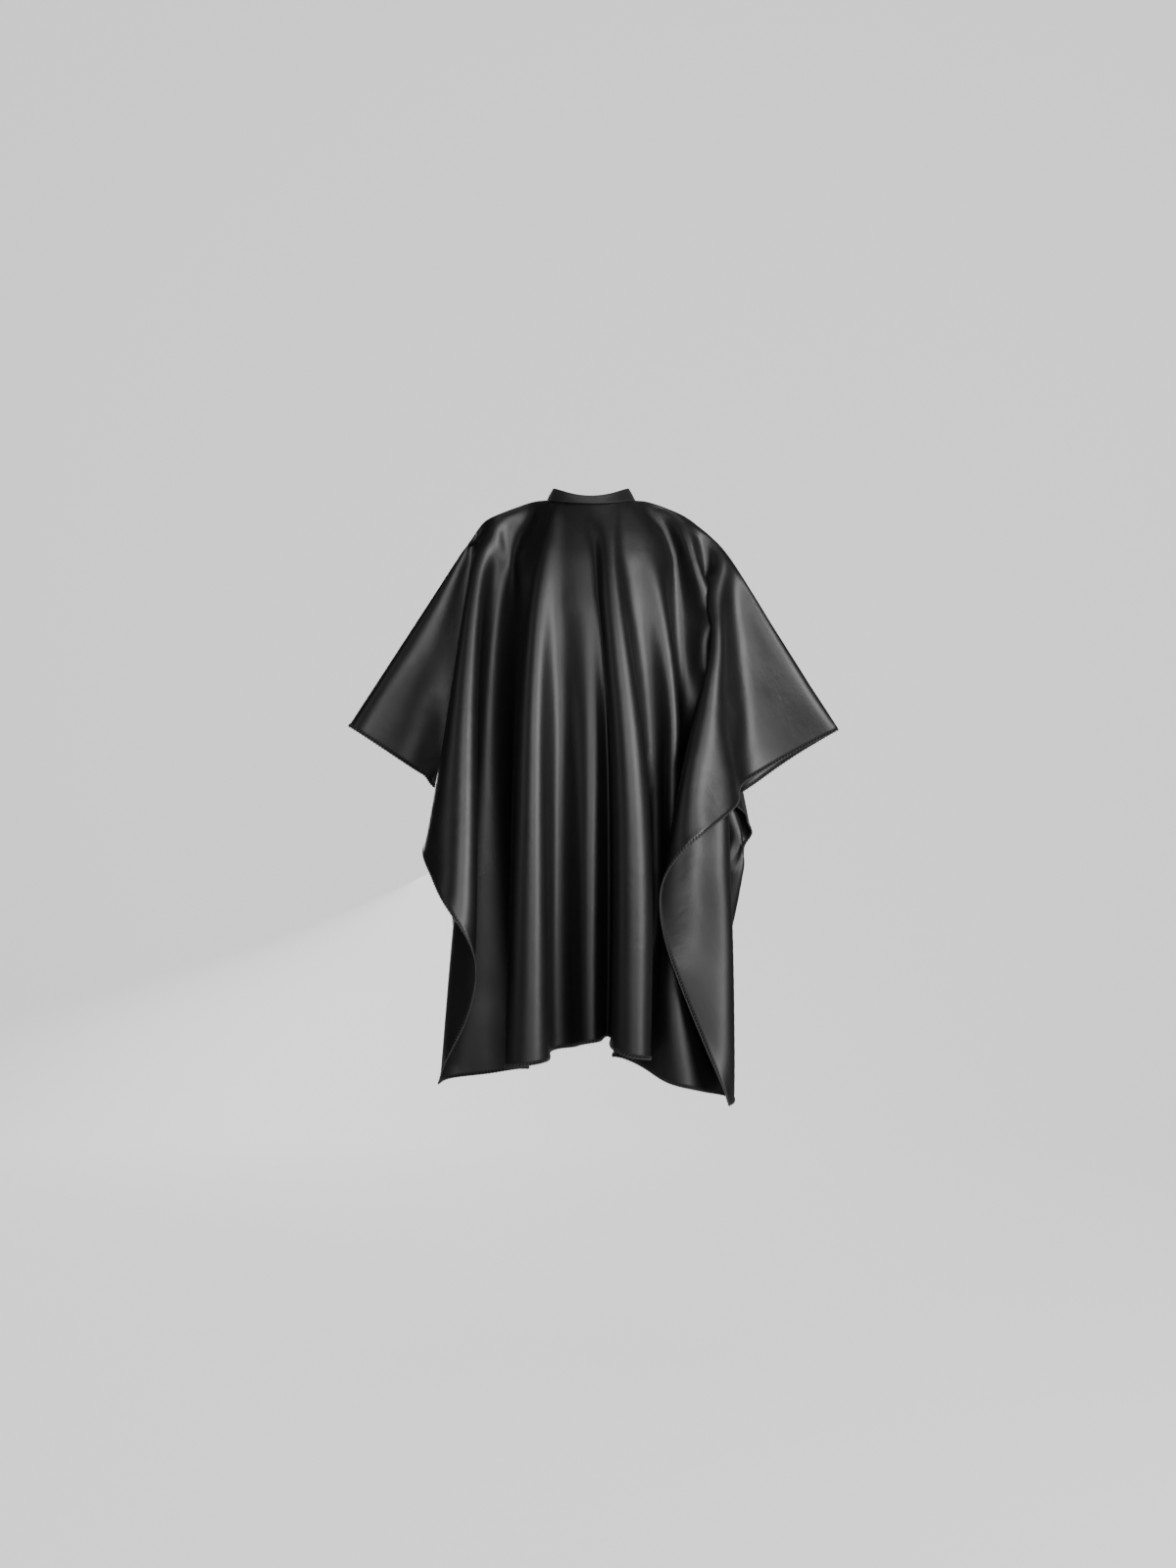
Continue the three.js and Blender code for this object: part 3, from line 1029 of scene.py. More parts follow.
@dataclass(frozen=True)
class CapeCut:
    """The flat cut: a rectangle with an oval neck hole and a slit behind it.

    Attributes:
        half_width: Half of its width.
        front: From the shoulder line to the front hem, beside the middle.
        front_middle: The same at the middle, where the hem is a little shorter.
        middle_reach: How far out the short middle keeps level, and where it has gone.
        front_corners: The same at the left and right corners, where the hem rises a little.
        back: From the shoulder line to the back hem.
        hole: Half width and half depth of the neck hole.
        slit_end: How far behind the shoulder line the slit ends.
        mesh: Distance between the grid's threads.
    """

    half_width: float = 0.611
    front: float = 0.911
    front_middle: float = 0.900
    middle_reach: tuple[float, float] = (0.06, 0.14)
    front_corners: tuple[float, float] = (0.84, 0.87)
    back: float = 0.689
    hole: tuple[float, float] = (0.090, 0.045)
    slit_end: float = 0.20
    mesh: float = 0.014

    def area(self) -> float:
        """Area of the cut, with the hole and the rounding of the front hem taken off.

        Returns:
            The area in square metres.
        """
        whole = 2 * self.half_width * (self.front + self.back)
        rounded = self.half_width * sum(self.front - corner for corner in self.front_corners) / 4
        raised = (self.front - self.front_middle) * sum(self.middle_reach)
        return whole - rounded - raised - math.pi * self.hole[0] * self.hole[1]

    def front_at(self, across: float) -> float:
        """Length of the front at one place across.

        Args:
            across: Distance from the middle, below 0 on the left.

        Returns:
            From the shoulder line to the hem there.
        """
        share = abs(across / self.half_width) ** 3
        rounded = (self.front - self.front_corners[across > 0]) * share
        level = 1 - smooth_step(abs(across), *self.middle_reach)
        return self.front - rounded - (self.front - self.front_middle) * level

    def from_hole(self, across: float, along: float) -> float:
        """Rough distance of a flat point from the hole's edge.

        Args:
            across: Its place across the flat cut.
            along: Its place along the flat cut.

        Returns:
            The distance, below 0 inside the hole.
        """
        wide, deep = self.hole
        reach = math.hypot(across / wide, along / deep)
        slope = math.hypot(across / wide**2, along / deep**2) / max(reach, 1e-6)
        return (reach - 1) / max(slope, 1e-6)

    def lay_out(self) -> CutGrid:
        """Lays the cut out as a grid, with its edge moved onto the neck hole.

        Returns:
            The grid.
        """
        moved_out, moved_in = 0.55 * self.mesh, 0.45 * self.mesh
        columns = round(2 * self.half_width / self.mesh)
        columns += columns % 2
        front_rows = round(self.front / self.mesh)
        back_rows = round(self.back / self.mesh)
        flat: list[FlatPoint] = []
        number: dict[tuple[int, int], int] = {}
        for row in range(front_rows + back_rows + 1):
            for column in range(columns + 1):
                across = self.half_width * (2 * column / columns - 1)
                if row <= front_rows:
                    along = -self.front_at(across) * (1 - row / front_rows)
                else:
                    along = self.back * (row - front_rows) / back_rows
                away = self.from_hole(across, along)
                if away < moved_in:
                    reach = math.hypot(across / self.hole[0], along / self.hole[1])
                    if away < -moved_out or reach < 1e-6:
                        continue
                    across, along = across / reach, along / reach
                number[column, row] = len(flat)
                flat.append((across, along))
        grid = CutGrid(np.empty(0), [], number, {}, columns, front_rows + back_rows)
        for row in range(front_rows + 1, grid.rows + 1):
            middle = number.get((columns // 2, row))
            if middle is not None and flat[middle][1] < self.slit_end:
                grid.slit_copies[row] = len(flat)
                flat.append(flat[middle])
        for row in range(grid.rows):
            for column in range(columns):
                side = 1 if column >= columns // 2 else -1
                corners = ((0, 0), (1, 0), (1, 1), (0, 1))
                places = [grid.at(column + i, row + j, side) for i, j in corners]
                face = [place for place in places if place >= 0]
                if len(face) >= 3:
                    grid.faces.append(face)
        grid.flat = np.array(flat)
        return grid


def share_of_length(curve: Callable[[float], Sequence[float]]) -> tuple[np.ndarray, np.ndarray]:
    """Measures a curve from 0 to half a turn.

    Args:
        curve: Gives a point for an angle in radians.

    Returns:
        Angles, and the share of the curve's length up to each.
    """
    angles = np.linspace(0.0, math.pi, 361)
    points = np.array([curve(a) for a in angles])
    steps = np.linalg.norm(np.diff(points, axis=0), axis=1)
    total = np.concatenate([[0.0], np.cumsum(steps)])
    return angles, total / total[-1]


@dataclass
class FoldedShape:
    """The cut folded along its fold lines, before it settles.

    Attributes:
        cut: The flat cut.
        band: The neck band that it is sewn to.
        tuck: How far down the band its edge lies between the band's layers.
        slit_half_gap: How far each side of the slit stands from the middle.
    """

    cut: CapeCut
    band: BandShape
    tuck: float = 0.86
    slit_half_gap: float = 0.003

    def __post_init__(self) -> None:
        """Matches the hole's edge to the band's seam, length for length."""
        wide, deep = self.cut.hole
        self._hole = share_of_length(lambda a: (wide * math.sin(a), -deep * math.cos(a)))
        self._seam = share_of_length(lambda a: self.band.point(math.degrees(a), self.tuck))

    def seam(self, across: float, along: float) -> np.ndarray:
        """Where a point of the hole's edge is sewn to the band.

        Args:
            across: Its place across the flat cut.
            along: Its place along the flat cut.

        Returns:
            The place between the band's layers.
        """
        wide, deep = self.cut.hole
        angle = math.atan2(abs(across) / wide, -along / deep)
        share = np.interp(angle, *self._hole)
        turn = math.degrees(float(np.interp(share, self._seam[1], self._seam[0])))
        return self.band.lapped(turn if across >= 0 else -turn, self.tuck)

    def ridge(self, across: float) -> np.ndarray:
        """Where a point of the shoulder line lies, from the hole's corner to the tip.

        Args:
            across: Its place across the flat cut.

        Returns:
            The place on the ridge.
        """
        shoulder = SHOULDERS[-1 if across < 0 else 1]
        reaches = np.append(shoulder.reaches(), self.cut.half_width - self.cut.hole[0])
        places = np.array([*shoulder.course, shoulder.tip])
        reach = abs(across) - self.cut.hole[0]
        x, z = (np.interp(reach, reaches, places[:, k]) for k in (0, 1))
        return np.array([x, 0.0, z])

    def shoulder_across(self, side: int) -> float:
        """Distance of a shoulder point from the middle of the flat cut."""
        return self.cut.hole[0] + float(SHOULDERS[side].reaches()[-1])

    def start_of(self, line: FoldLine) -> tuple[np.ndarray, np.ndarray]:
        """The start of a fold line, in the flat cut and as hung.

        Args:
            line: The fold line.

        Returns:
            Its flat place and its hung place.
        """
        if line.start is Start.NECK_SEAM:
            turn = math.radians(line.seam_angle)
            wide, deep = self.cut.hole
            flat = (wide * math.sin(turn), -deep * math.cos(turn))
            return np.array(flat), self.seam(*flat)
        side = line.start.value
        across = side * self.shoulder_across(side)
        return np.array([across, 0.0]), self.ridge(across)

    def along_line(self, line: FoldLine, share: np.ndarray) -> np.ndarray:
        """Places along a fold line.

        Args:
            line: The fold line.
            share: Shares of its length.

        Returns:
            The hung place at each share.
        """
        stops = [0.0] + [stop for stop, _ in line.course]
        places = np.array([self.start_of(line)[1]] + [place for _, place in line.course])
        return np.column_stack([np.interp(share, stops, places[:, k]) for k in range(3)])

    def fold(self, flat: np.ndarray, lines: Sequence[FoldLine]) -> np.ndarray:
        """Folds flat points into the strips between neighbouring fold lines.

        Each strip is ruled from line to line, so a point's place comes from its shares along
        the two lines and across the strip.

        Args:
            flat: Flat points, one row each.
            lines: The fold lines in order across the cloth.

        Returns:
            The hung place of each point.
        """
        hung = np.zeros((len(flat), 3))
        miss = np.full(len(flat), np.inf)

        def cross(a: np.ndarray, b: np.ndarray) -> np.ndarray:
            """The flat cross product of rows of vectors."""
            return a[..., 0] * b[..., 1] - a[..., 1] * b[..., 0]

        for first, second in zip(lines, lines[1:]):
            start = self.start_of(first)[0]
            run = np.array(first.hem) - start
            gap = self.start_of(second)[0] - start
            widen = np.array(second.hem) - self.start_of(second)[0] - run
            reach = flat - start
            square = -cross(gap, widen)
            linear = cross(run, gap) + cross(reach, widen)
            constant = cross(reach, run)
            if abs(square) < 1e-9:
                roots = [-constant / np.where(np.abs(linear) < 1e-12, 1e-12, linear)]
            else:
                root = np.sqrt(np.maximum(linear**2 - 4 * constant * square, 0.0))
                roots = [(-linear - root) / (2 * square), (-linear + root) / (2 * square)]
            for across in roots:
                ruled = run + across[:, None] * widen
                rest = reach - across[:, None] * gap
                axis = (np.abs(ruled[:, 1]) > np.abs(ruled[:, 0])).astype(int)
                rows = np.arange(len(flat))
                length = ruled[rows, axis]
                down = rest[rows, axis] / np.where(np.abs(length) < 1e-12, 1e-12, length)
                error = np.maximum.reduce([-across, across - 1, -down, down - 1, np.zeros(len(flat))])
                better = error < miss
                share = np.clip(across[better], 0, 1)[:, None]
                run_share = np.clip(down[better], 0, 1)
                hung[better] = (1 - share) * self.along_line(first, run_share)
                hung[better] += share * self.along_line(second, run_share)
                miss[better] = error[better]
        return hung

    def hang(self, grid: CutGrid) -> tuple[np.ndarray, np.ndarray]:
        """Hangs the whole cut.

        Args:
            grid: The cut laid out flat.

        Returns:
            The place of each crossing, and whether a seam or the ridge holds it there.
        """
        ahead = grid.flat[:, 1] <= 0
        place = np.zeros((len(grid.flat), 3))
        place[ahead] = self.fold(grid.flat[ahead], FRONT_FOLDS)
        place[~ahead] = self.fold(grid.flat[~ahead], BACK_FOLDS)
        held = np.zeros(len(grid.flat), dtype=bool)
        right_of_slit = set(grid.slit_copies.values())
        left_of_slit = {grid.number[grid.columns // 2, row] for row in grid.slit_copies}
        for k, (across, along) in enumerate(grid.flat):
            if math.hypot(across / self.cut.hole[0], along / self.cut.hole[1]) < 1.0005:
                side = -1e-9 if k in left_of_slit else 0.0
                place[k] = self.seam(across + side, along)
                held[k] = True
            elif abs(along) < 1e-6:
                place[k] = self.ridge(across)
                held[k] = True
            if k in right_of_slit:
                place[k, 0] += self.slit_half_gap
            elif k in left_of_slit:
                place[k, 0] -= self.slit_half_gap
        return place, held


# --- settling the cloth


@dataclass(frozen=True)
class Wearer:
    """The unseen form under the cape.

    Attributes:
        rows: Its sections as (height, half width, half depth).
        middle: Where its middle lies across.
        squareness: How square its sections are; 2 is an ellipse.
        grip: Share of its fall that cloth touching it loses.
    """

    rows: tuple[Point, ...] = (
        (-1.20, 0.020, 0.020),
        (-0.86, 0.030, 0.030),
        (-0.80, 0.060, 0.050),
        (-0.75, 0.095, 0.080),
        (-0.60, 0.105, 0.090),
        (-0.45, 0.115, 0.100),
        (-0.30, 0.125, 0.105),
        (-0.20, 0.130, 0.100),
        (-0.12, 0.130, 0.085),
        (-0.075, 0.115, 0.070),
        (-0.045, 0.078, 0.058),
        (-0.030, 0.045, 0.040),
        (0.0, 0.030, 0.030),
    )
    middle: float = 0.005
    squareness: float = 2.3
    grip: float = 0.3

    def push_out(self, place: np.ndarray, before: np.ndarray, free: np.ndarray) -> None:
        """Moves cloth that has sunk into the form back onto it.

        Args:
            place: Places of the cloth, changed here.
            before: Its places one step earlier, which friction holds it towards.
            free: Which points may move.
        """
        table = np.array(self.rows)
        wide = np.interp(place[:, 2], table[:, 0], table[:, 1])
        deep = np.interp(place[:, 2], table[:, 0], table[:, 2])
        across = np.abs(place[:, 0] - self.middle) / wide
        reach = across**self.squareness + (np.abs(place[:, 1]) / deep) ** self.squareness
        sunk = (reach < 1) & (reach > 1e-6) & free
        factor = reach[sunk] ** (-1 / self.squareness)
        place[sunk, 0] = self.middle + (place[sunk, 0] - self.middle) * factor
        place[sunk, 1] *= factor
        place[sunk, 2] += self.grip * (before[sunk, 2] - place[sunk, 2])


@dataclass
class Settling:
    """Lets folded cloth settle under its weight, at the lengths of its flat cut.

    Each step moves the cloth freely, then brings thread lengths, slants and bends back one
    set of springs after another, parts layers that touch, and keeps the cloth off the wearer.

    Attributes:
        grid: The cut laid out flat.
        place: Place of each crossing, changed by settling.
        held: Crossings that are sewn, or lie on a ridge from the neck to a sleeve's tip.
        seconds: How long the cloth swings.
        step: Length of one step in seconds.
        weight: Mass of a square metre of the cloth.
        stiffness: Bending stiffness of the cloth.
        drag: How fast the air takes its speed.
        guide: Pull towards the fold lines at the start and at the end.
        apart: Distance kept between layers, as a share of the grid's mesh.
        look: How far to look for other layers, in distances kept.
        own: Crossings closer than this in the cut, in distances kept, count as one layer.
        rub: Share of their sliding that touching layers lose in a step.
        give: How far a thread, and a slant between threads, yields to a pull.
        mesh: Distance between the grid's threads.
        wearer: The form under the cape.
    """

    grid: CutGrid
    place: np.ndarray
    held: np.ndarray
    seconds: float = 0.5
    step: float = 0.001
    weight: float = 0.13
    stiffness: float = 2e-5
    drag: float = 6.0
    guide: tuple[float, float] = (600.0, 250.0)
    apart: float = 0.9
    look: float = 1.6
    own: float = 2.2
    rub: float = 0.25
    give: tuple[float, float] = (1e-9, 1e-6)
    mesh: float = 0.014
    wearer: Wearer = field(default_factory=Wearer)

    def __post_init__(self) -> None:
        """Sets up the springs of the flat cut."""
        self.free = ~self.held
        self.lightness = np.where(self.held, 0.0, 1.0 / (self.weight * self.mesh**2))
        self.springs: list[tuple[np.ndarray, np.ndarray, np.ndarray, np.ndarray]] = []
        for run in ((1, 0), (0, 1), (1, 1), (1, -1)):
            for parity in (0, 1):
                self._add_springs(run, parity, self.give[all(run)])
        self.bends: list[tuple[np.ndarray, ...]] = []
        for run in ((1, 0), (0, 1)):
            for phase in (0, 1, 2):
                self._add_bends(run, phase)

    def _sides(self, first: int, last: int) -> tuple[int, ...]:
        """The sides of the slit that a spring may lie on.

        Args:
            first: Its first column.
            last: Its last column.

        Returns:
            -1 for the left side, 1 for the right, both or neither.
        """
        middle = self.grid.columns // 2
        if first < middle < last:
            return ()
        if first == last:
            return (-1, 1)
        return (1,) if first >= middle else (-1,)

    def _crossings(self, choose: Callable[[int, int], bool]) -> Iterator[tuple[int, int]]:
        """Walks over some of the grid's places.

        Args:
            choose: Says for a column and row whether it is wanted.

        Yields:
            The column and row of each.
        """
        for row in range(self.grid.rows + 1):
            for column in range(self.grid.columns + 1):
                if choose(column, row):
                    yield column, row

    def _add_springs(self, run: tuple[int, int], parity: int, give: float) -> None:
        """Adds every second spring of one direction, none of which share a crossing.

        Args:
            run: Columns and rows from its start to its end.
            parity: 0 or 1, for the even or the odd ones.
            give: How far it yields to a pull.
        """
        axis = 0 if run[0] else 1
        pairs = set()
        for column, row in self._crossings(lambda c, r: (c, r)[axis] % 2 == parity):
            end = (column + run[0], row + run[1])
            for side in self._sides(column, end[0]):
                pair = (self.grid.at(column, row, side), self.grid.at(*end, side))
                if min(pair) >= 0:
                    pairs.add(pair)
        first, second = np.array(sorted(pairs)).T
        length = np.linalg.norm(self.grid.flat[first] - self.grid.flat[second], axis=1)
        slack = self.lightness[first] + self.lightness[second] + give / self.step**2
        loose = (self.lightness[first] + self.lightness[second]) > 0
        self.springs.append((first[loose], second[loose], length[loose], slack[loose]))

    def _add_bends(self, run: tuple[int, int], phase: int) -> None:
        """Adds every third bend of one direction.

        Args:
            run: Columns and rows from its middle to its end.
            phase: 0, 1 or 2, for which third.
        """
        axis = 0 if run[0] else 1
        triples = set()
        for column, row in self._crossings(lambda c, r: (c, r)[axis] % 3 == phase):
            before = (column - run[0], row - run[1])
            after = (column + run[0], row + run[1])
            for side in self._sides(before[0], after[0]):
                triple = (
                    self.grid.at(*before, side),
                    self.grid.at(column, row, side),
                    self.grid.at(*after, side),
                )
                if min(triple) >= 0:
                    triples.add(triple)
        first, middle, last = np.array(sorted(triples)).T
        give = self.mesh**2 / self.stiffness / self.step**2
        weights = self.lightness[first] + 4 * self.lightness[middle] + self.lightness[last]
        self.bends.append((first, middle, last, 1.0 / (weights + give)))

    def _near(self) -> tuple[np.ndarray, np.ndarray]:
        """Finds crossings that are near in space but apart in the cloth.

        Returns:
            The first and the second crossing of each pair.
        """
        gap = self.apart * self.mesh
        radius = self.look * gap
        cell = np.floor(self.place / radius).astype(np.int64)
        cell -= cell.min(0) - 1
        size = cell.max(0) + 3
        key = (cell[:, 0] * size[1] + cell[:, 1]) * size[2] + cell[:, 2]
        order = np.argsort(key, kind="stable")
        ordered = key[order]
        count = len(key)
        everyone = np.arange(count)
        half = [(0, 0, 0), (1, 0, 0), (0, 1, 0), (0, 0, 1)]
        half += [(1, y, 0) for y in (1, -1)] + [(1, 0, z) for z in (1, -1)]
        half += [(0, 1, z) for z in (1, -1)]
        half += [(1, y, z) for y in (1, -1) for z in (1, -1)]
        firsts, seconds = [], []
        for offset in half:
            target = key + (offset[0] * size[1] + offset[1]) * size[2] + offset[2]
            base = np.searchsorted(ordered, target)
            for slot in range(8):
                other = np.minimum(base + slot, count - 1)
                same = (base + slot < count) & (ordered[other] == target)
                if not same.any():
                    break
                first, second = everyone[same], order[other[same]]
                if offset == (0, 0, 0):
                    once = first < second
                    first, second = first[once], second[once]
                firsts.append(first)
                seconds.append(second)
        first, second = np.concatenate(firsts), np.concatenate(seconds)
        space = self.place[first] - self.place[second]
        cloth = self.grid.flat[first] - self.grid.flat[second]
        close = np.einsum("ij,ij->i", space, space) < radius**2
        close &= np.einsum("ij,ij->i", cloth, cloth) > (self.own * gap) ** 2
        return first[close], second[close]

    def _part_layers(self, first: np.ndarray, second: np.ndarray, before: np.ndarray) -> None:
        """Pushes touching layers apart and slows their sliding.

        Args:
            first: The first crossing of each near pair.
            second: The second crossing of each.
            before: Places of the cloth one step earlier.
        """
        gap = self.apart * self.mesh
        space = self.place[first] - self.place[second]
        length = np.sqrt(np.einsum("ij,ij->i", space, space)) + 1e-9
        touching = length < gap
        if not touching.any():
            return
        first, second = first[touching], second[touching]
        push = space[touching] * ((gap - length[touching]) / length[touching] * 0.5)[:, None]
        slide = (self.place[first] - before[first]) - (self.place[second] - before[second])
        move = push - self.rub * slide
        count = len(self.place)
        shared = np.bincount(first, minlength=count) + np.bincount(second, minlength=count)
        total = np.empty_like(self.place)
        for axis in range(3):
            total[:, axis] = np.bincount(first, move[:, axis], count)
            total[:, axis] -= np.bincount(second, move[:, axis], count)
        self.place += total * (self.free / np.maximum(shared, 1))[:, None]

    def _keep_lengths(self) -> None:
        """Brings every spring and bend back towards the flat cut's."""
        place, lightness = self.place, self.lightness
        for first, second, length, slack in self.springs:
            space = place[first] - place[second]
            now = np.sqrt(np.einsum("ij,ij->i", space, space)) + 1e-12
            space *= ((now - length) / (slack * now))[:, None]
            place[first] -= lightness[first][:, None] * space
            place[second] += lightness[second][:, None] * space
        for first, middle, last, factor in self.bends:
            bend = (place[first] - 2 * place[middle] + place[last]) * factor[:, None]
            place[first] -= lightness[first][:, None] * bend
            place[middle] += 2 * lightness[middle][:, None] * bend
            place[last] -= lightness[last][:, None] * bend

    def run(self) -> np.ndarray:
        """Settles the cloth.

        Returns:
            The place of each crossing.
        """
        gravity = np.array([0.0, 0.0, -GRAVITY])
        folded = self.place.copy()
        speed = np.zeros_like(self.place)
        steps = round(self.seconds / self.step)
        slow_steps, slow_drag, look_every, top_speed = 200, 6, 12, 3.0
        for count in range(steps):
            if count % look_every == 0:
                near = self._near()
            early = count < slow_steps
            speed *= math.exp(-self.drag * self.step * (slow_drag if early else 1))
            pull = self.guide[0] + (self.guide[1] - self.guide[0]) * count / steps
            push = gravity * min(1.0, 2 * count / slow_steps) + pull * (folded - self.place)
            speed += push * self.step * self.free[:, None]
            before = self.place.copy()
            self.place += speed * self.step
            self._keep_lengths()
            self._part_layers(*near, before)
            self.wearer.push_out(self.place, before, self.free)
            speed = (self.place - before) / self.step
            pace = np.sqrt(np.einsum("ij,ij->i", speed, speed))
            fast = pace > top_speed
            speed[fast] *= (top_speed / pace[fast])[:, None]
        return self.place


# --- sewn edges


@dataclass
class EdgePath:
    """An edge of the cloth that thread is sewn along.

    Attributes:
        points: Places along the edge.
        inward: Directions into the cloth, in its surface.
        normal: Directions out of the cloth's face.
        closed: Whether the edge comes back to its start.
    """

    points: np.ndarray
    inward: np.ndarray
    normal: np.ndarray
    closed: bool

    def along(self) -> np.ndarray:
        """Direction of the edge at each point.

        Returns:
            The directions, at length one.
        """
        if self.closed:
            return unit(np.roll(self.points, -1, 0) - np.roll(self.points, 1, 0))
        return unit(np.gradient(self.points, axis=0))

    def spaced(self, pitch: float) -> "EdgePath":
        """The same edge with points at an even pitch.

        Args:
            pitch: Distance between neighbouring points.

        Returns:
            The evenly spaced edge.
        """
        columns = [self.points, self.inward, self.normal]
        if self.closed:
            columns = [np.vstack([c, c[:1]]) for c in columns]
        steps = np.linalg.norm(np.diff(columns[0], axis=0), axis=1)
        total = np.concatenate([[0.0], np.cumsum(steps)])
        count = max(3, round(total[-1] / pitch))
        at = np.linspace(0.0, total[-1], count, endpoint=not self.closed)
        moved = [np.column_stack([np.interp(at, total, c[:, k]) for k in range(3)]) for c in columns]
        return EdgePath(moved[0], unit(moved[1]), unit(moved[2]), self.closed)


def cloth_edges(piece: bpy.types.Object) -> list[EdgePath]:
    """Walks round every open edge of a cloth.

    Args:
        piece: The open cloth.

    Returns:
        One path for each ring of open edges, the longest first.
    """
    mesh = bmesh.new()
    mesh.from_mesh(piece.data)
    mesh.normal_update()
    left = {e.index for e in mesh.edges if e.is_boundary}
    mesh.edges.ensure_lookup_table()
    paths = []
    while left:
        edge = mesh.edges[min(left)]
        vertex = edge.verts[0]
        ring, inward = [], []
        while edge.index in left:
            left.discard(edge.index)
            vertex = edge.other_vert(vertex)
            middle = edge.link_faces[0].calc_center_median()
            ring.append(vertex)
            inward.append(middle - (edge.verts[0].co + edge.verts[1].co) / 2)
            edge = next((e for e in vertex.link_edges if e.is_boundary and e.index in left), edge)
        points = np.array([v.co[:] for v in ring])
        normal = np.array([v.normal[:] for v in ring])
        path = EdgePath(points, np.array(inward), unit(normal), True)
        along = path.along()
        ahead = np.cross(normal, along)
        sign = np.sign(np.sum(ahead * path.inward, axis=1, keepdims=True))
        path.inward = unit(ahead * np.where(sign == 0, 1, sign))
        paths.append(path)
    mesh.free()
    return sorted(paths, key=lambda p: -len(p.points))


@dataclass(frozen=True)
class Stitch:
    """One stitch as a bent thread, copied along an edge.

    Attributes:
        course: Points of the thread as (along, inward, out).
        radius: Radius of the thread.
        sides: Sides of the thread's tube.
    """

    course: tuple[Point, ...]
    radius: float
    sides: int = 5

    def tube(self) -> Shell:
        """The stitch's tube in its own axes.

        Returns:
            Its points and its faces, with both ends closed.
        """
        course = np.array(self.course)
        heading = unit(np.gradient(course, axis=0))
        first = np.cross(heading, (1.0, 0.0, 0.0))
        flat_on = np.linalg.norm(first, axis=1) < 0.3
        first[flat_on] = np.cross(heading[flat_on], (0.0, 1.0, 0.0))
        first = unit(first)
        second = np.cross(heading, first)
        turns = np.arange(self.sides) * math.tau / self.sides
        rings = [course + self.radius * (math.cos(t) * first + math.sin(t) * second) for t in turns]
        points = np.stack(rings, axis=1).reshape(-1, 3)
        faces: list[tuple[int, ...]] = []
        for ring in range(len(course) - 1):
            for k in range(self.sides):
                a, b = ring * self.sides + k, ring * self.sides + (k + 1) % self.sides
                faces.append((a, b, b + self.sides, a + self.sides))
        last = (len(course) - 1) * self.sides
        faces.append(tuple(reversed(range(self.sides))))
        faces.append(tuple(range(last, last + self.sides)))
        return points, faces

    def sew(self, path: EdgePath) -> Shell:
        """Copies the stitch to every point of an edge.

        Args:
            path: The edge, spaced at the stitch's pitch.

        Returns:
            Points and faces of all the stitches.
        """
        points, faces = self.tube()
        along, inward, out = path.along(), path.inward, path.normal
        placed_points = (
            path.points[:, None]
            + points[None, :, 0:1] * along[:, None]
            + points[None, :, 1:2] * inward[:, None]
            + points[None, :, 2:3] * out[:, None]
        )
        count = len(points)
        every = [
            tuple(count * k + corner for corner in face)
            for k in range(len(path.points))
            for face in faces
        ]
        return placed_points.reshape(-1, 3), every


def edge_roll(path: EdgePath, radius: float, inset: float, sides: int = 6) -> Shell:
    """The rolled edge that overlock thread wraps.

    Args:
        path: The edge.
        radius: Radius of the roll.
        inset: How far inside the edge its middle lies.
        sides: Sides of its section.

    Returns:
        Points and faces of the roll.
    """
    turns = np.arange(sides) * math.tau / sides
    middle = path.points + inset * path.inward
    rings = [middle + radius * (math.cos(t) * path.inward + math.sin(t) * path.normal) for t in turns]
    points = np.stack(rings, axis=1).reshape(-1, 3)
    count = len(path.points)
    faces: list[tuple[int, ...]] = []
    for ring in range(count if path.closed else count - 1):
        after = (ring + 1) % count
        for k in range(sides):
            turn = (k + 1) % sides
            faces.append((ring * sides + k, ring * sides + turn, after * sides + turn, after * sides + k))
    if not path.closed:
        faces.append(tuple(reversed(range(sides))))
        faces.append(tuple(range((count - 1) * sides, count * sides)))
    return points, faces


def joined(parts: Sequence[Shell]) -> Shell:
    """Puts several meshes into one.

    Args:
        parts: Points and faces of each.

    Returns:
        All the points and faces.
    """
    points, faces, count = [], [], 0
    for part_points, part_faces in parts:
        points.append(part_points)
        faces += [tuple(corner + count for corner in face) for face in part_faces]
        count += len(part_points)
    return np.vstack(points), faces


def turned_outwards(piece: bpy.types.Object) -> None:
    """Turns every closed shell of a piece to face outwards.

    Args:
        piece: The object, made of closed shells.
    """
    take_up(piece)
    bpy.ops.object.mode_set(mode="EDIT")
    bpy.ops.mesh.select_all(action="SELECT")
    bpy.ops.mesh.normals_make_consistent(inside=False)
    bpy.ops.object.mode_set(mode="OBJECT")


# --- the sub-assemblies


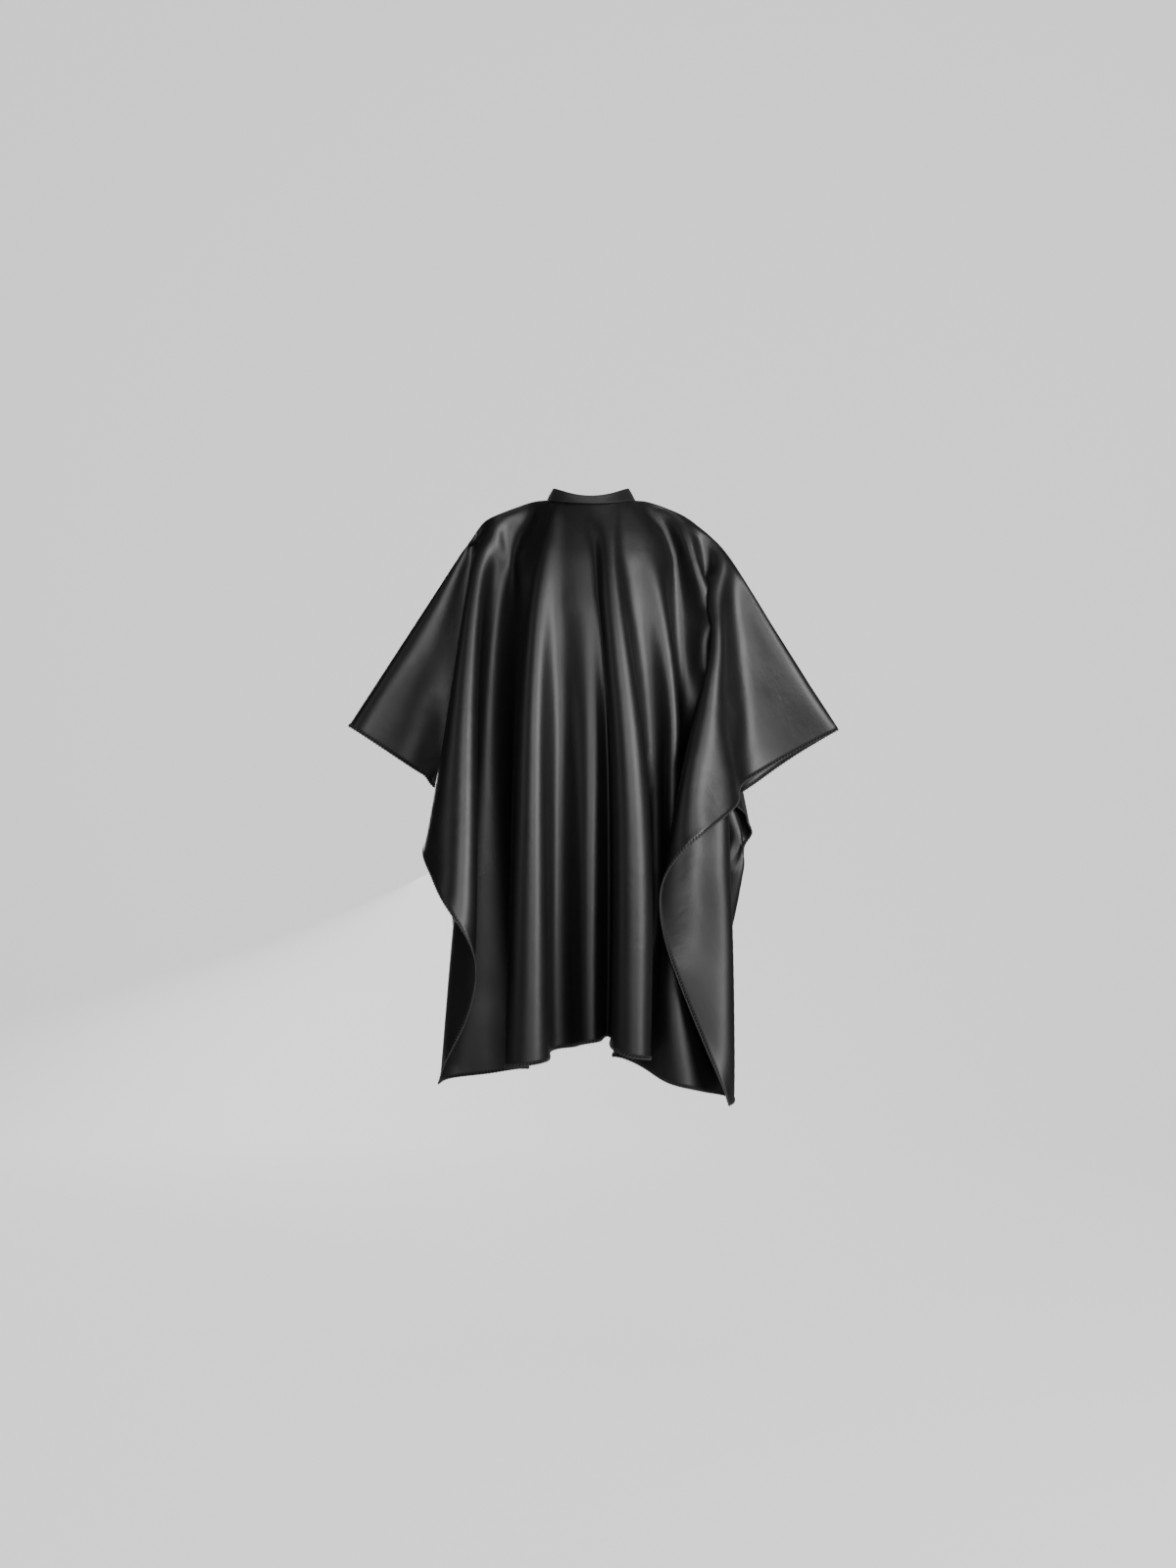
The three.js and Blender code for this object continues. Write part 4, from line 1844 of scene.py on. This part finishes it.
@dataclass
class CapeCloth:
    """The cape's one sheet of satin and the overlock round its edges.

    Attributes:
        band: The neck band that the cloth is sewn to.
        cut: The flat cut.
        wall: Thickness of the cloth.
        stitch_pitch: Distance between overlock stitches.
        stitch_bite: How far the overlock reaches into the cloth.
        thread_radius: Radius of the overlock thread.
        roll_radius: Radius of the edge inside the overlock.
        roll_inset: How far inside the cloth's edge the roll's middle lies.
        roll_step: Distance between the roll's sections.
        seam_margin: How far from the neck seam the slit's overlock starts.
    """

    band: BandShape
    cut: CapeCut = CapeCut()
    wall: float = 0.0004
    stitch_pitch: float = 0.0056
    stitch_bite: float = 0.0046
    thread_radius: float = 0.00055
    roll_radius: float = 0.0008
    roll_inset: float = 0.0002
    roll_step: float = 0.006
    seam_margin: float = 0.006
    quick_seconds: float = 0.12

    def build(self, finishes: dict[str, bpy.types.Material]) -> None:
        """Makes the cloth and its sewn edges.

        Args:
            finishes: Materials by name.
        """
        grid = self.cut.lay_out()
        place, held = FoldedShape(self.cut, self.band).hang(grid)
        seconds = Settling.seconds
        settled = Settling(grid, place, held, seconds=seconds, mesh=self.cut.mesh).run()
        cloth = sewn_mesh("cape_cloth", settled, grid.faces, grid.flat)
        subdivide(cloth, 1)
        edges = cloth_edges(cloth)
        give_wall(cloth, self.wall)
        shade_smooth(cloth)
        cloth.data.materials.append(finishes["satin"])
        overlock = self._overlock(edges, finishes["thread"])
        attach(cloth, CAPE_BODY)
        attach(overlock, CAPE_BODY)
        panels = [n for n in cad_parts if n.startswith(("cape_", "sleeve_"))]
        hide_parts(*sorted(n for n in panels if not n.endswith("_thread")))
        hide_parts(*sorted(n for n in panels if n.endswith("_thread")))
        self.cut.area()
        log.info("cape cloth: %d faces", len(cloth.data.polygons))

    def _overlock(self, edges: list[EdgePath], thread: bpy.types.Material) -> bpy.types.Object:
        """Sews overlock round the hem and down the slit.

        Args:
            edges: The cloth's open edges, the hem first.
            thread: The thread's material.

        Returns:
            The overlock as one piece.
        """
        bite, bump = self.stitch_bite, self.roll_radius + 0.7 * self.thread_radius
        lean = 0.3 * self.stitch_pitch
        stitch = Stitch(
            (
                (-lean, bite, 0.6 * bump),
                (0.0, 0.4 * bite, bump),
                (lean, -0.6 * bump, 0.75 * bump),
                (lean, -1.5 * bump, 0.0),
                (lean, -0.6 * bump, -0.75 * bump),
                (0.0, 0.4 * bite, -bump),
                (-lean, bite, -0.6 * bump),
            ),
            self.thread_radius,
            4,
        )
        parts = []
        for path in (edges[0], self._slit_part(edges[1])):
            parts.append(edge_roll(path.spaced(self.roll_step), self.roll_radius, self.roll_inset))
            parts.append(stitch.sew(path.spaced(self.stitch_pitch)))
        piece = sewn_mesh("cape_overlock", *joined(parts))
        turned_outwards(piece)
        shade_smooth(piece)
        piece.data.materials.append(thread)
        return piece

    def _slit_part(self, ring: EdgePath) -> EdgePath:
        """The part of the inner edge that runs down one side of the slit and up the other.

        Args:
            ring: The edge round the neck hole and the slit.

        Returns:
            The slit's edge.
        """
        seam = np.array([self.band.lapped(a, 1.0) for a in np.arange(-180.0, 180.0, 2.0)])
        apart = np.linalg.norm(ring.points[:, None] - seam[None], axis=2).min(axis=1)
        away = apart > self.seam_margin
        start = int(np.argmin(away))
        order = np.roll(np.arange(len(away)), -start)
        kept = order[away[order]]
        return EdgePath(ring.points[kept], ring.inward[kept], ring.normal[kept], False)


@dataclass
class NeckBand:
    """The stiffened band round the neck, covered in cloth and topstitched.

    Attributes:
        shape: The band's shape.
        cover_end_angle: Where the cover gives way to the tab's.
        stitch_pitch: Distance between topstitches.
        stitch_inset: How far the rows of stitches lie inside the edges.
        rim: Radius of its rounded edges.
        ease: How much thinner the cover is than the sewn layers.
        crown: How far the cover stands out at half its height.
        column_angle: Widest turn between its columns of faces.
        thread_radius: Radius of the topstitching thread.
        bed: How deep the thread lies below the band's face.
    """

    shape: BandShape
    cover_end_angle: float = 175.6
    stitch_pitch: float = 0.0031
    stitch_inset: float = 0.0026
    rim: float = 0.0011
    ease: float = 0.0004
    crown: float = 0.0003
    column_angle: float = 1.6
    thread_radius: float = 0.00026
    bed: float = 0.0003

    def strip(
        self, name: str, span: tuple[float, float], margin: float, rounding: float
    ) -> bpy.types.Object:
        """Makes a padded strip of the band.

        Args:
            name: Name of the piece.
            span: Angles it runs between.
            margin: How much narrower than the band it is at each edge.
            rounding: Radius of the corners at its far end.

        Returns:
            The strip.
        """
        shape = self.shape
        deselect_all()
        columns = math.ceil((span[1] - span[0]) / self.column_angle)
        bpy.ops.mesh.primitive_grid_add(
            x_subdivisions=columns, y_subdivisions=12, size=1.0, location=(0.0, 0.0, 0.0)
        )
        piece = bpy.context.object
        piece.name = piece.data.name = name
        layer = piece.data.uv_layers.active
        layer.name = FLAT_MAP
        around = math.radians(1.0) * (shape.half_width + shape.half_depth) / 2
        share = [(v.co.x + 0.5, 0.5 - v.co.y) for v in piece.data.vertices]
        for loop in piece.data.loops:
            u, v = share[loop.vertex_index]
            layer.data[loop.index].uv = ((span[1] - span[0]) * u * around, v * shape.side.height)
        for vertex, (u, v) in zip(piece.data.vertices, share):
            angle = span[0] + (span[1] - span[0]) * u
            height = shape.section(angle).height
            edge = margin / height
            left = (span[1] - angle) * around
            if rounding > 0.0 and left < rounding:
                edge += (rounding - math.sqrt(max(0.0, rounding**2 - (rounding - left) ** 2))) / height
            crown = self.crown * math.sin(math.pi * v)
            vertex.co = shape.lapped(angle, edge + (1 - 2 * edge) * v, crown)
        self._face_outwards(piece)
        give_wall(piece, shape.wall - self.ease, self.rim)
        self._press_stitch_lines(piece, span, margin)
        shade_smooth(piece)
        return piece

    def _face_outwards(self, piece: bpy.types.Object) -> None:
        """Turns the open strip so that its faces look away from the neck.

        Args:
            piece: The strip.
        """
        middle = piece.data.polygons[len(piece.data.polygons) // 2]
        if middle.normal.x * middle.center.x + middle.normal.y * middle.center.y < 0:
            piece.data.flip_normals()

    def _press_stitch_lines(
        self, piece: bpy.types.Object, span: tuple[float, float], margin: float
    ) -> None:
        """Presses the cover in a little where the topstitching runs.

        Args:
            piece: The strip with its wall.
            span: Angles it runs between.
            margin: How much narrower than the band it is at each edge.
        """
        groove, width = 0.00035, 0.0011
        past_nape = span[1] > 180.0
        for vertex in piece.data.vertices:
            place = np.array(vertex.co)
            south = -place[1] * self.shape.half_width / self.shape.half_depth
            angle = math.degrees(math.atan2(place[0], south))
            if past_nape and angle < 0.0:
                angle += 360.0
            at = self.shape.section(angle)
            depth = -place[2] - at.dip
            for line in (margin + self.stitch_inset, at.height - margin - self.stitch_inset):
                away = abs(depth - line)
                if away < width:
                    share = 0.5 + 0.5 * math.cos(math.pi * away / width)
                    vertex.co -= vertex.normal * groove * share

    def stitches(
        self, name: str, span: tuple[float, float], margin: float, thread: bpy.types.Material
    ) -> bpy.types.Object:
        """Sews a row of topstitches near each edge.

        Args:
            name: Name of the piece.
            span: Angles the rows run between.
            margin: How much narrower than the band the strip is at each edge.
            thread: The thread's material.

        Returns:
            The stitches as one piece.
        """
        half = 0.40 * self.stitch_pitch
        sunk, shoulder, crest = -0.0002, 0.00012, 0.0002
        stitch = Stitch(
            (
                (-half, 0.0, sunk),
                (-0.6 * half, 0.0, shoulder),
                (0.0, 0.0, crest),
                (0.6 * half, 0.0, shoulder),
                (half, 0.0, sunk),
            ),
            self.thread_radius,
        )
        start_gap, end_gap, step = 1.5, 2.5, 0.5
        parts = []
        face = self.shape.wall / 2 - self.bed
        for edge in (0, 1):
            angles = np.arange(span[0] + start_gap, span[1] - end_gap, step)
            points, normals, downs = [], [], []
            for angle in angles:
                inset = (margin + self.stitch_inset) / self.shape.section(angle).height
                down = inset if edge == 0 else 1 - inset
                points.append(self.shape.lapped(angle, down, face))
                normals.append(self.shape.normal(angle))
                downs.append(self.shape.lapped(angle, 1.0) - self.shape.lapped(angle, 0.0))
            path = EdgePath(np.array(points), unit(np.array(downs)), np.array(normals), False)
            parts.append(stitch.sew(path.spaced(self.stitch_pitch)))
        piece = sewn_mesh(name, *joined(parts))
        turned_outwards(piece)
        shade_smooth(piece)
        piece.data.materials.append(thread)
        return piece

    def build(self, finishes: dict[str, bpy.types.Material]) -> None:
        """Makes the band and its topstitching.

        Args:
            finishes: Materials by name.
        """
        span = (self.shape.left_end_angle, self.cover_end_angle)
        cover = self.strip("neck_band_cover", span, 0.0, 0.0)
        cover.data.materials.append(finishes["band"])
        rows = self.stitches("neck_band_topstitch", span, 0.0, finishes["thread"])
        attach(cover, CAPE_BODY)
        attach(rows, CAPE_BODY)
        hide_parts("neck_band", "neck_band_interlining", "neck_band_lining")
        log.info("neck band: %d faces", len(cover.data.polygons))


@dataclass
class ClosureTab:
    """The end of the band that laps over the other and snaps onto it.

    Attributes:
        band: The band that it continues.
        corner: Radius of the corners at its end.
        bend_from: Angle round the band where the build works out a point of the band, which it does not use
            further.
        bend_to: A second such angle, whose point is not used either.
        joint_gap: Angle left open between the band's cover and the tab's.
        stitch_end: Angle that the topstitching stops short of the tab's end.
    """

    band: NeckBand
    corner: float = 0.006
    bend_from: float = 176.0
    bend_to: float = 181.0
    joint_gap: float = 0.15
    stitch_end: float = 5.0

    def build(self, finishes: dict[str, bpy.types.Material]) -> None:
        """Makes the tab and its topstitching.

        Args:
            finishes: Materials by name.
        """
        shape = self.band.shape
        span = (self.band.cover_end_angle + self.joint_gap, shape.tab_end_angle)
        cover = self.band.strip("closure_tab_cover", span, shape.tab_margin, self.corner)
        cover.data.materials.append(finishes["band"])
        row_span = (span[0], span[1] - self.stitch_end)
        rows = self.band.stitches("closure_tab_topstitch", row_span, shape.tab_margin, finishes["thread"])
        start = tuple(float(c) for c in shape.lapped(self.bend_from, 0.5))
        end = tuple(float(c) for c in shape.lapped(self.bend_to, 0.5))
        for piece, slot in ((cover, "band_cloth"), (rows, "edge_thread")):
            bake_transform(piece)
        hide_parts("closure_tab", "closure_tab_interlining", "closure_tab_lining")
        log.info("closure tab: %d faces", len(cover.data.polygons))


class SnapPart(Enum):
    """The pressed parts of a snap, each with its profile as (radius, height) in metres."""

    CAP = ((0.0050, 0.0), (0.0050, 0.0004), (0.0046, 0.00105), (0.0040, 0.00125), (0.0031, 0.00105),
           (0.0018, 0.00135), (0.0004, 0.0015))
    STUD = ((0.0044, 0.0), (0.0044, 0.0003), (0.0040, 0.00045), (0.0021, 0.0006), (0.0016, 0.0008),
            (0.0016, 0.0012), (0.00195, 0.0016), (0.0018, 0.0020), (0.0009, 0.0022))
    POST = ((0.0047, 0.0), (0.0047, 0.00025), (0.0043, 0.00045), (0.0030, 0.0005), (0.0012, 0.0006))
    SOCKET = ((0.0023, 0.0), (0.0044, 0.0), (0.0044, 0.0009), (0.0040, 0.0014), (0.0034, 0.0017),
              (0.0026, 0.0017), (0.0023, 0.0014))


@dataclass
class Snaps:
    """The studs down the left half of the band and the two sockets in the tab.

    Attributes:
        shape: The band's shape.
        first_angle: Angle of the first stud.
        pitch_angle: Angle between neighbouring studs.
        count: Number of studs.
        snapped: The studs that the sockets are pressed on.
        facets: Facets round each turned part.
        gap: Air between the band and a part.
        seat: How much further out a flat base sits on the band's curve.
    """

    shape: BandShape
    first_angle: float = 190.0
    pitch_angle: float = 14.0
    count: int = 6
    snapped: tuple[int, int] = (2, 3)
    facets: int = 40
    gap: float = 0.0003
    seat: float = 0.00035

    def turn(self, part: SnapPart) -> bpy.types.Object:
        """Models one part by raising and drawing in a ring, ring by ring.

        Args:
            part: Which part.

        Returns:
            The part, standing on the origin.
        """
        profile = part.value
        ring = part is SnapPart.SOCKET
        deselect_all()
        bpy.ops.mesh.primitive_circle_add(
            vertices=self.facets,
            radius=profile[0][0],
            fill_type="NOTHING" if ring else "NGON",
            location=(0.0, 0.0, 0.0),
        )
        piece = bpy.context.object
        bpy.ops.object.mode_set(mode="EDIT")
        bpy.ops.mesh.select_all(action="SELECT")
        rings = [*profile[1:], profile[0]] if ring else list(profile[1:])
        radius, height = profile[0]
        for next_radius, next_height in rings:
            rise = {"value": (0.0, 0.0, next_height - height)}
            if ring:
                bpy.ops.mesh.extrude_edges_move(TRANSFORM_OT_translate=rise)
            else:
                bpy.ops.mesh.extrude_region_move(TRANSFORM_OT_translate=rise)
            grow = next_radius / radius
            bpy.ops.transform.resize(value=(grow, grow, 1.0), center_override=(0.0, 0.0, next_height))
            radius, height = next_radius, next_height
        bpy.ops.mesh.select_all(action="SELECT")
        bpy.ops.mesh.remove_doubles(threshold=0.00002)
        bpy.ops.mesh.normals_make_consistent(inside=False)
        bpy.ops.object.mode_set(mode="OBJECT")
        softened = piece.modifiers.new("edges", "BEVEL")
        softened.width = 0.00008
        softened.segments = 2
        softened.limit_method = "ANGLE"
        softened.angle_limit = math.radians(35)
        finish_modifiers(piece)
        shade_smooth(piece)
        return piece

    def press(
        self, pattern: bpy.types.Object, node: str, angle: float, height: float, facing: int
    ) -> bpy.types.Object:
        """Presses a copy of a part into the band, with its place in its mesh.

        Args:
            pattern: The modelled part.
            node: The frame's node that the copy stands for.
            angle: Its angle round the band.
            height: Its height over the middle of the band's wall.
            facing: 1 to look away from the neck, -1 to look towards it.

        Returns:
            The pressed copy.
        """
        normal = self.shape.normal(angle)
        place = self.shape.point(angle, 0.5) + height * normal
        turn = Vector((0.0, 0.0, 1.0)).rotation_difference(Vector(facing * normal))
        mesh = pattern.data.copy()
        mesh.transform(Matrix.Translation(Vector(place)) @ turn.to_matrix().to_4x4())
        piece = bpy.data.objects.new(f"{node}_metal", mesh)
        bpy.context.collection.objects.link(piece)
        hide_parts(node)
        return piece

    def build(self, finishes: dict[str, bpy.types.Material]) -> None:
        """Makes and presses every stud, post, socket and cap.

        Args:
            finishes: Materials by name.
        """
        patterns = {part: self.turn(part) for part in SnapPart}
        for pattern in patterns.values():
            pattern.data.materials.append(finishes["metal"])
        face = self.shape.wall / 2 + self.gap + self.seat
        for number in range(1, self.count + 1):
            angle = self.first_angle + (number - 1) * self.pitch_angle
            stud = self.press(patterns[SnapPart.STUD], f"snap_stud_{number}", angle, face, 1)
            post = self.press(patterns[SnapPart.POST], f"snap_post_{number}", angle, -face, -1)
            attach(stud, CAPE_BODY)
            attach(post, CAPE_BODY)
        for number, stud_number in enumerate(self.snapped, start=1):
            angle = self.first_angle + (stud_number - 1) * self.pitch_angle
            middle = self.shape.tab_height(angle)
            socket = self.press(
                patterns[SnapPart.SOCKET], f"snap_socket_{number}", angle, middle - face, -1
            )
            cap = self.press(patterns[SnapPart.CAP], f"snap_cap_{number}", angle, middle + face, 1)
            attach(socket, TAB_BODY)
            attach(cap, TAB_BODY)
        for pattern in patterns.values():
            bpy.data.objects.remove(pattern)
        log.info("snaps: %d studs, %d sockets", self.count, len(self.snapped))


@dataclass
class CareLabel:
    """The blank label tape sewn inside the back.

    Attributes:
        wall: Thickness of the tape.
        bow: How far its middle bows away from the back.
    """

    wall: float = 0.0004
    bow: float = 0.0025

    def build(self, finishes: dict[str, bpy.types.Material]) -> None:
        """Makes the label where the frame has it.

        Args:
            finishes: Materials by name.
        """
        low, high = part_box("care_label")
        width, height = high[0] - low[0], high[2] - low[2]
        deselect_all()
        bpy.ops.mesh.primitive_grid_add(
            x_subdivisions=14, y_subdivisions=20, size=1.0, location=(0.0, 0.0, 0.0)
        )
        label = bpy.context.object
        label.name = label.data.name = "care_label_tape"
        layer = label.data.uv_layers.active
        layer.name = FLAT_MAP
        for loop in label.data.loops:
            at = label.data.vertices[loop.vertex_index].co
            layer.data[loop.index].uv = (at.x * width, at.y * height)
        for vertex in label.data.vertices:
            u, v = vertex.co.x, vertex.co.y + 0.5
            curl = self.bow * math.sin(math.pi * v) - 0.6 * self.bow * (2 * u) ** 2 * (1 - v)
            y = (low[1] + high[1]) / 2 - curl
            vertex.co = (low[0] + width * (u + 0.5), y, low[2] + height * v)
        give_wall(label, self.wall)
        subdivide(label, 1)
        shade_smooth(label)
        label.data.materials.append(finishes["label"])
        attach(label, CAPE_BODY)
        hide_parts("care_label")
        log.info("care label: %d faces", len(label.data.polygons))


# --- the studio


@dataclass(frozen=True)
class SoftLight:
    """A soft rectangular light.

    Attributes:
        name: Name of the light.
        place: Where it stands.
        aim: Where it points.
        size: Its width and height.
        power: Its power in watts.
    """

    name: str
    place: Point
    aim: Point
    size: tuple[float, float]
    power: float

    def set_up(self) -> None:
        """Adds the light to the scene."""
        light = bpy.data.lights.new(self.name, "AREA")
        light.shape = "RECTANGLE"
        light.size, light.size_y = self.size
        light.energy = self.power
        lamp = bpy.data.objects.new(self.name, light)
        bpy.context.collection.objects.link(lamp)
        heading = Vector(self.aim) - Vector(self.place)
        lamp.location = self.place
        lamp.rotation_euler = heading.to_track_quat("-Z", "Y").to_euler()


@dataclass
class Studio:
    """A pale floor that curves up into a backdrop, soft lights and the camera.

    Attributes:
        floor_height: Height of the floor.
        reach: How far the floor runs to each side.
        wall_at: Where the backdrop stands behind the cape.
        wall_height: How high the backdrop reaches.
        turn_radius: Radius of the turn between the floor and the backdrop.
        eye: Where the camera stands.
        frame_height: Height of what the camera sees at the cape.
        ambient: Strength of the even light from all round.
        lights: The soft lights.
    """

    floor_height: float = -1.42
    reach: float = 9.0
    wall_at: float = 3.0
    wall_height: float = 7.0
    turn_radius: float = 1.2
    eye: Point = (-0.005, -3.2, -0.4906)
    frame_height: float = 2.608
    ambient: float = 0.012
    lights: tuple[SoftLight, ...] = (
        SoftLight("key", (2.4, -2.4, 0.3), (0.0, 0.0, -0.5), (1.3, 2.4), 140.0),
        SoftLight("front fill", (0.4, -3.7, 0.5), (0.0, 0.0, -0.5), (1.4, 1.8), 70.0),
        SoftLight("left rim", (-2.8, -1.4, 0.3), (0.0, 0.0, -0.5), (0.6, 2.2), 10.0),
        SoftLight("top wash", (0.1, 0.1, 2.4), (0.0, 0.0, 0.0), (1.0, 1.0), 16.0),
        SoftLight("back key", (-0.9, 2.6, -0.1), (0.0, 0.0, -0.6), (1.4, 1.4), 60.0),
    )

    def set_up(self) -> None:
        """Adds the floor, the lights and the camera."""
        self._add_floor()
        for light in self.lights:
            light.set_up()
        world = bpy.data.worlds.new("even light")
        world.use_nodes = True
        background = world.node_tree.nodes["Background"]
        background.inputs["Color"].default_value = (1.0, 1.0, 1.0, 1.0)
        nodes = Nodes(world.node_tree)
        seen = nodes.add("LightPath").outputs["Is Camera Ray"]
        nodes.put(background.inputs["Strength"], nodes.math("MAXIMUM", seen, self.ambient))
        bpy.context.scene.world = world
        self._add_camera()

    def _add_floor(self) -> None:
        """Extrudes the floor's far edge up into a backdrop and rounds the turn."""
        deselect_all()
        bpy.ops.mesh.primitive_plane_add(size=2.0, location=(0.0, 0.0, self.floor_height))
        floor = bpy.context.object
        floor.name = floor.data.name = "floor"
        bpy.ops.object.mode_set(mode="EDIT")
        bpy.ops.mesh.select_all(action="SELECT")
        bpy.ops.transform.resize(value=(self.reach, self.reach, 1.0))
        mesh = bmesh.from_edit_mesh(floor.data)
        for edge in mesh.edges:
            edge.select_set(all(v.co.y > 0 for v in edge.verts))
        bpy.ops.transform.translate(value=(0.0, self.wall_at - self.reach, 0.0))
        bpy.ops.mesh.extrude_edges_move(TRANSFORM_OT_translate={"value": (0.0, 0.0, self.wall_height)})
        bpy.ops.object.mode_set(mode="OBJECT")
        turn = floor.modifiers.new("turn", "BEVEL")
        turn.width = self.turn_radius
        turn.segments = 16
        turn.limit_method = "ANGLE"
        finish_modifiers(floor)
        take_up(floor)
        bpy.ops.object.transform_apply(location=True, rotation=True, scale=True)
        shade_smooth(floor)
        floor.data.materials.append(BACKDROP.make())

    def _add_camera(self) -> None:
        """Adds the level camera in front of the cape."""
        lens = bpy.data.cameras.new("camera")
        lens.sensor_fit = "VERTICAL"
        lens.sensor_height = 36.0
        lens.lens = lens.sensor_height * abs(self.eye[1]) / self.frame_height
        lens.clip_end = 60.0
        camera = bpy.data.objects.new("camera", lens)
        camera.location = self.eye
        camera.rotation_euler = (math.pi / 2, 0.0, 0.0)
        bpy.context.collection.objects.link(camera)
        bpy.context.scene.camera = camera


def main() -> None:
    """Builds the cape, its band and closure, and the studio."""
    logging.basicConfig(level=logging.INFO, format="%(name)s %(message)s")
    effects = Effects()
    finishes = {
        "satin": SATIN.make(effects),
        "band": BAND_CLOTH.make(effects),
        "label": LABEL_CLOTH.make(effects),
        "thread": BLACK_THREAD.make(effects),
        "metal": SNAP_METAL.make(effects),
    }
    shape = BandShape()
    band = NeckBand(shape)
    CapeCloth(shape).build(finishes)
    band.build(finishes)
    ClosureTab(band).build(finishes)
    Snaps(shape).build(finishes)
    CareLabel().build(finishes)
    Studio().set_up()


if __name__ == "__main__":
    main()
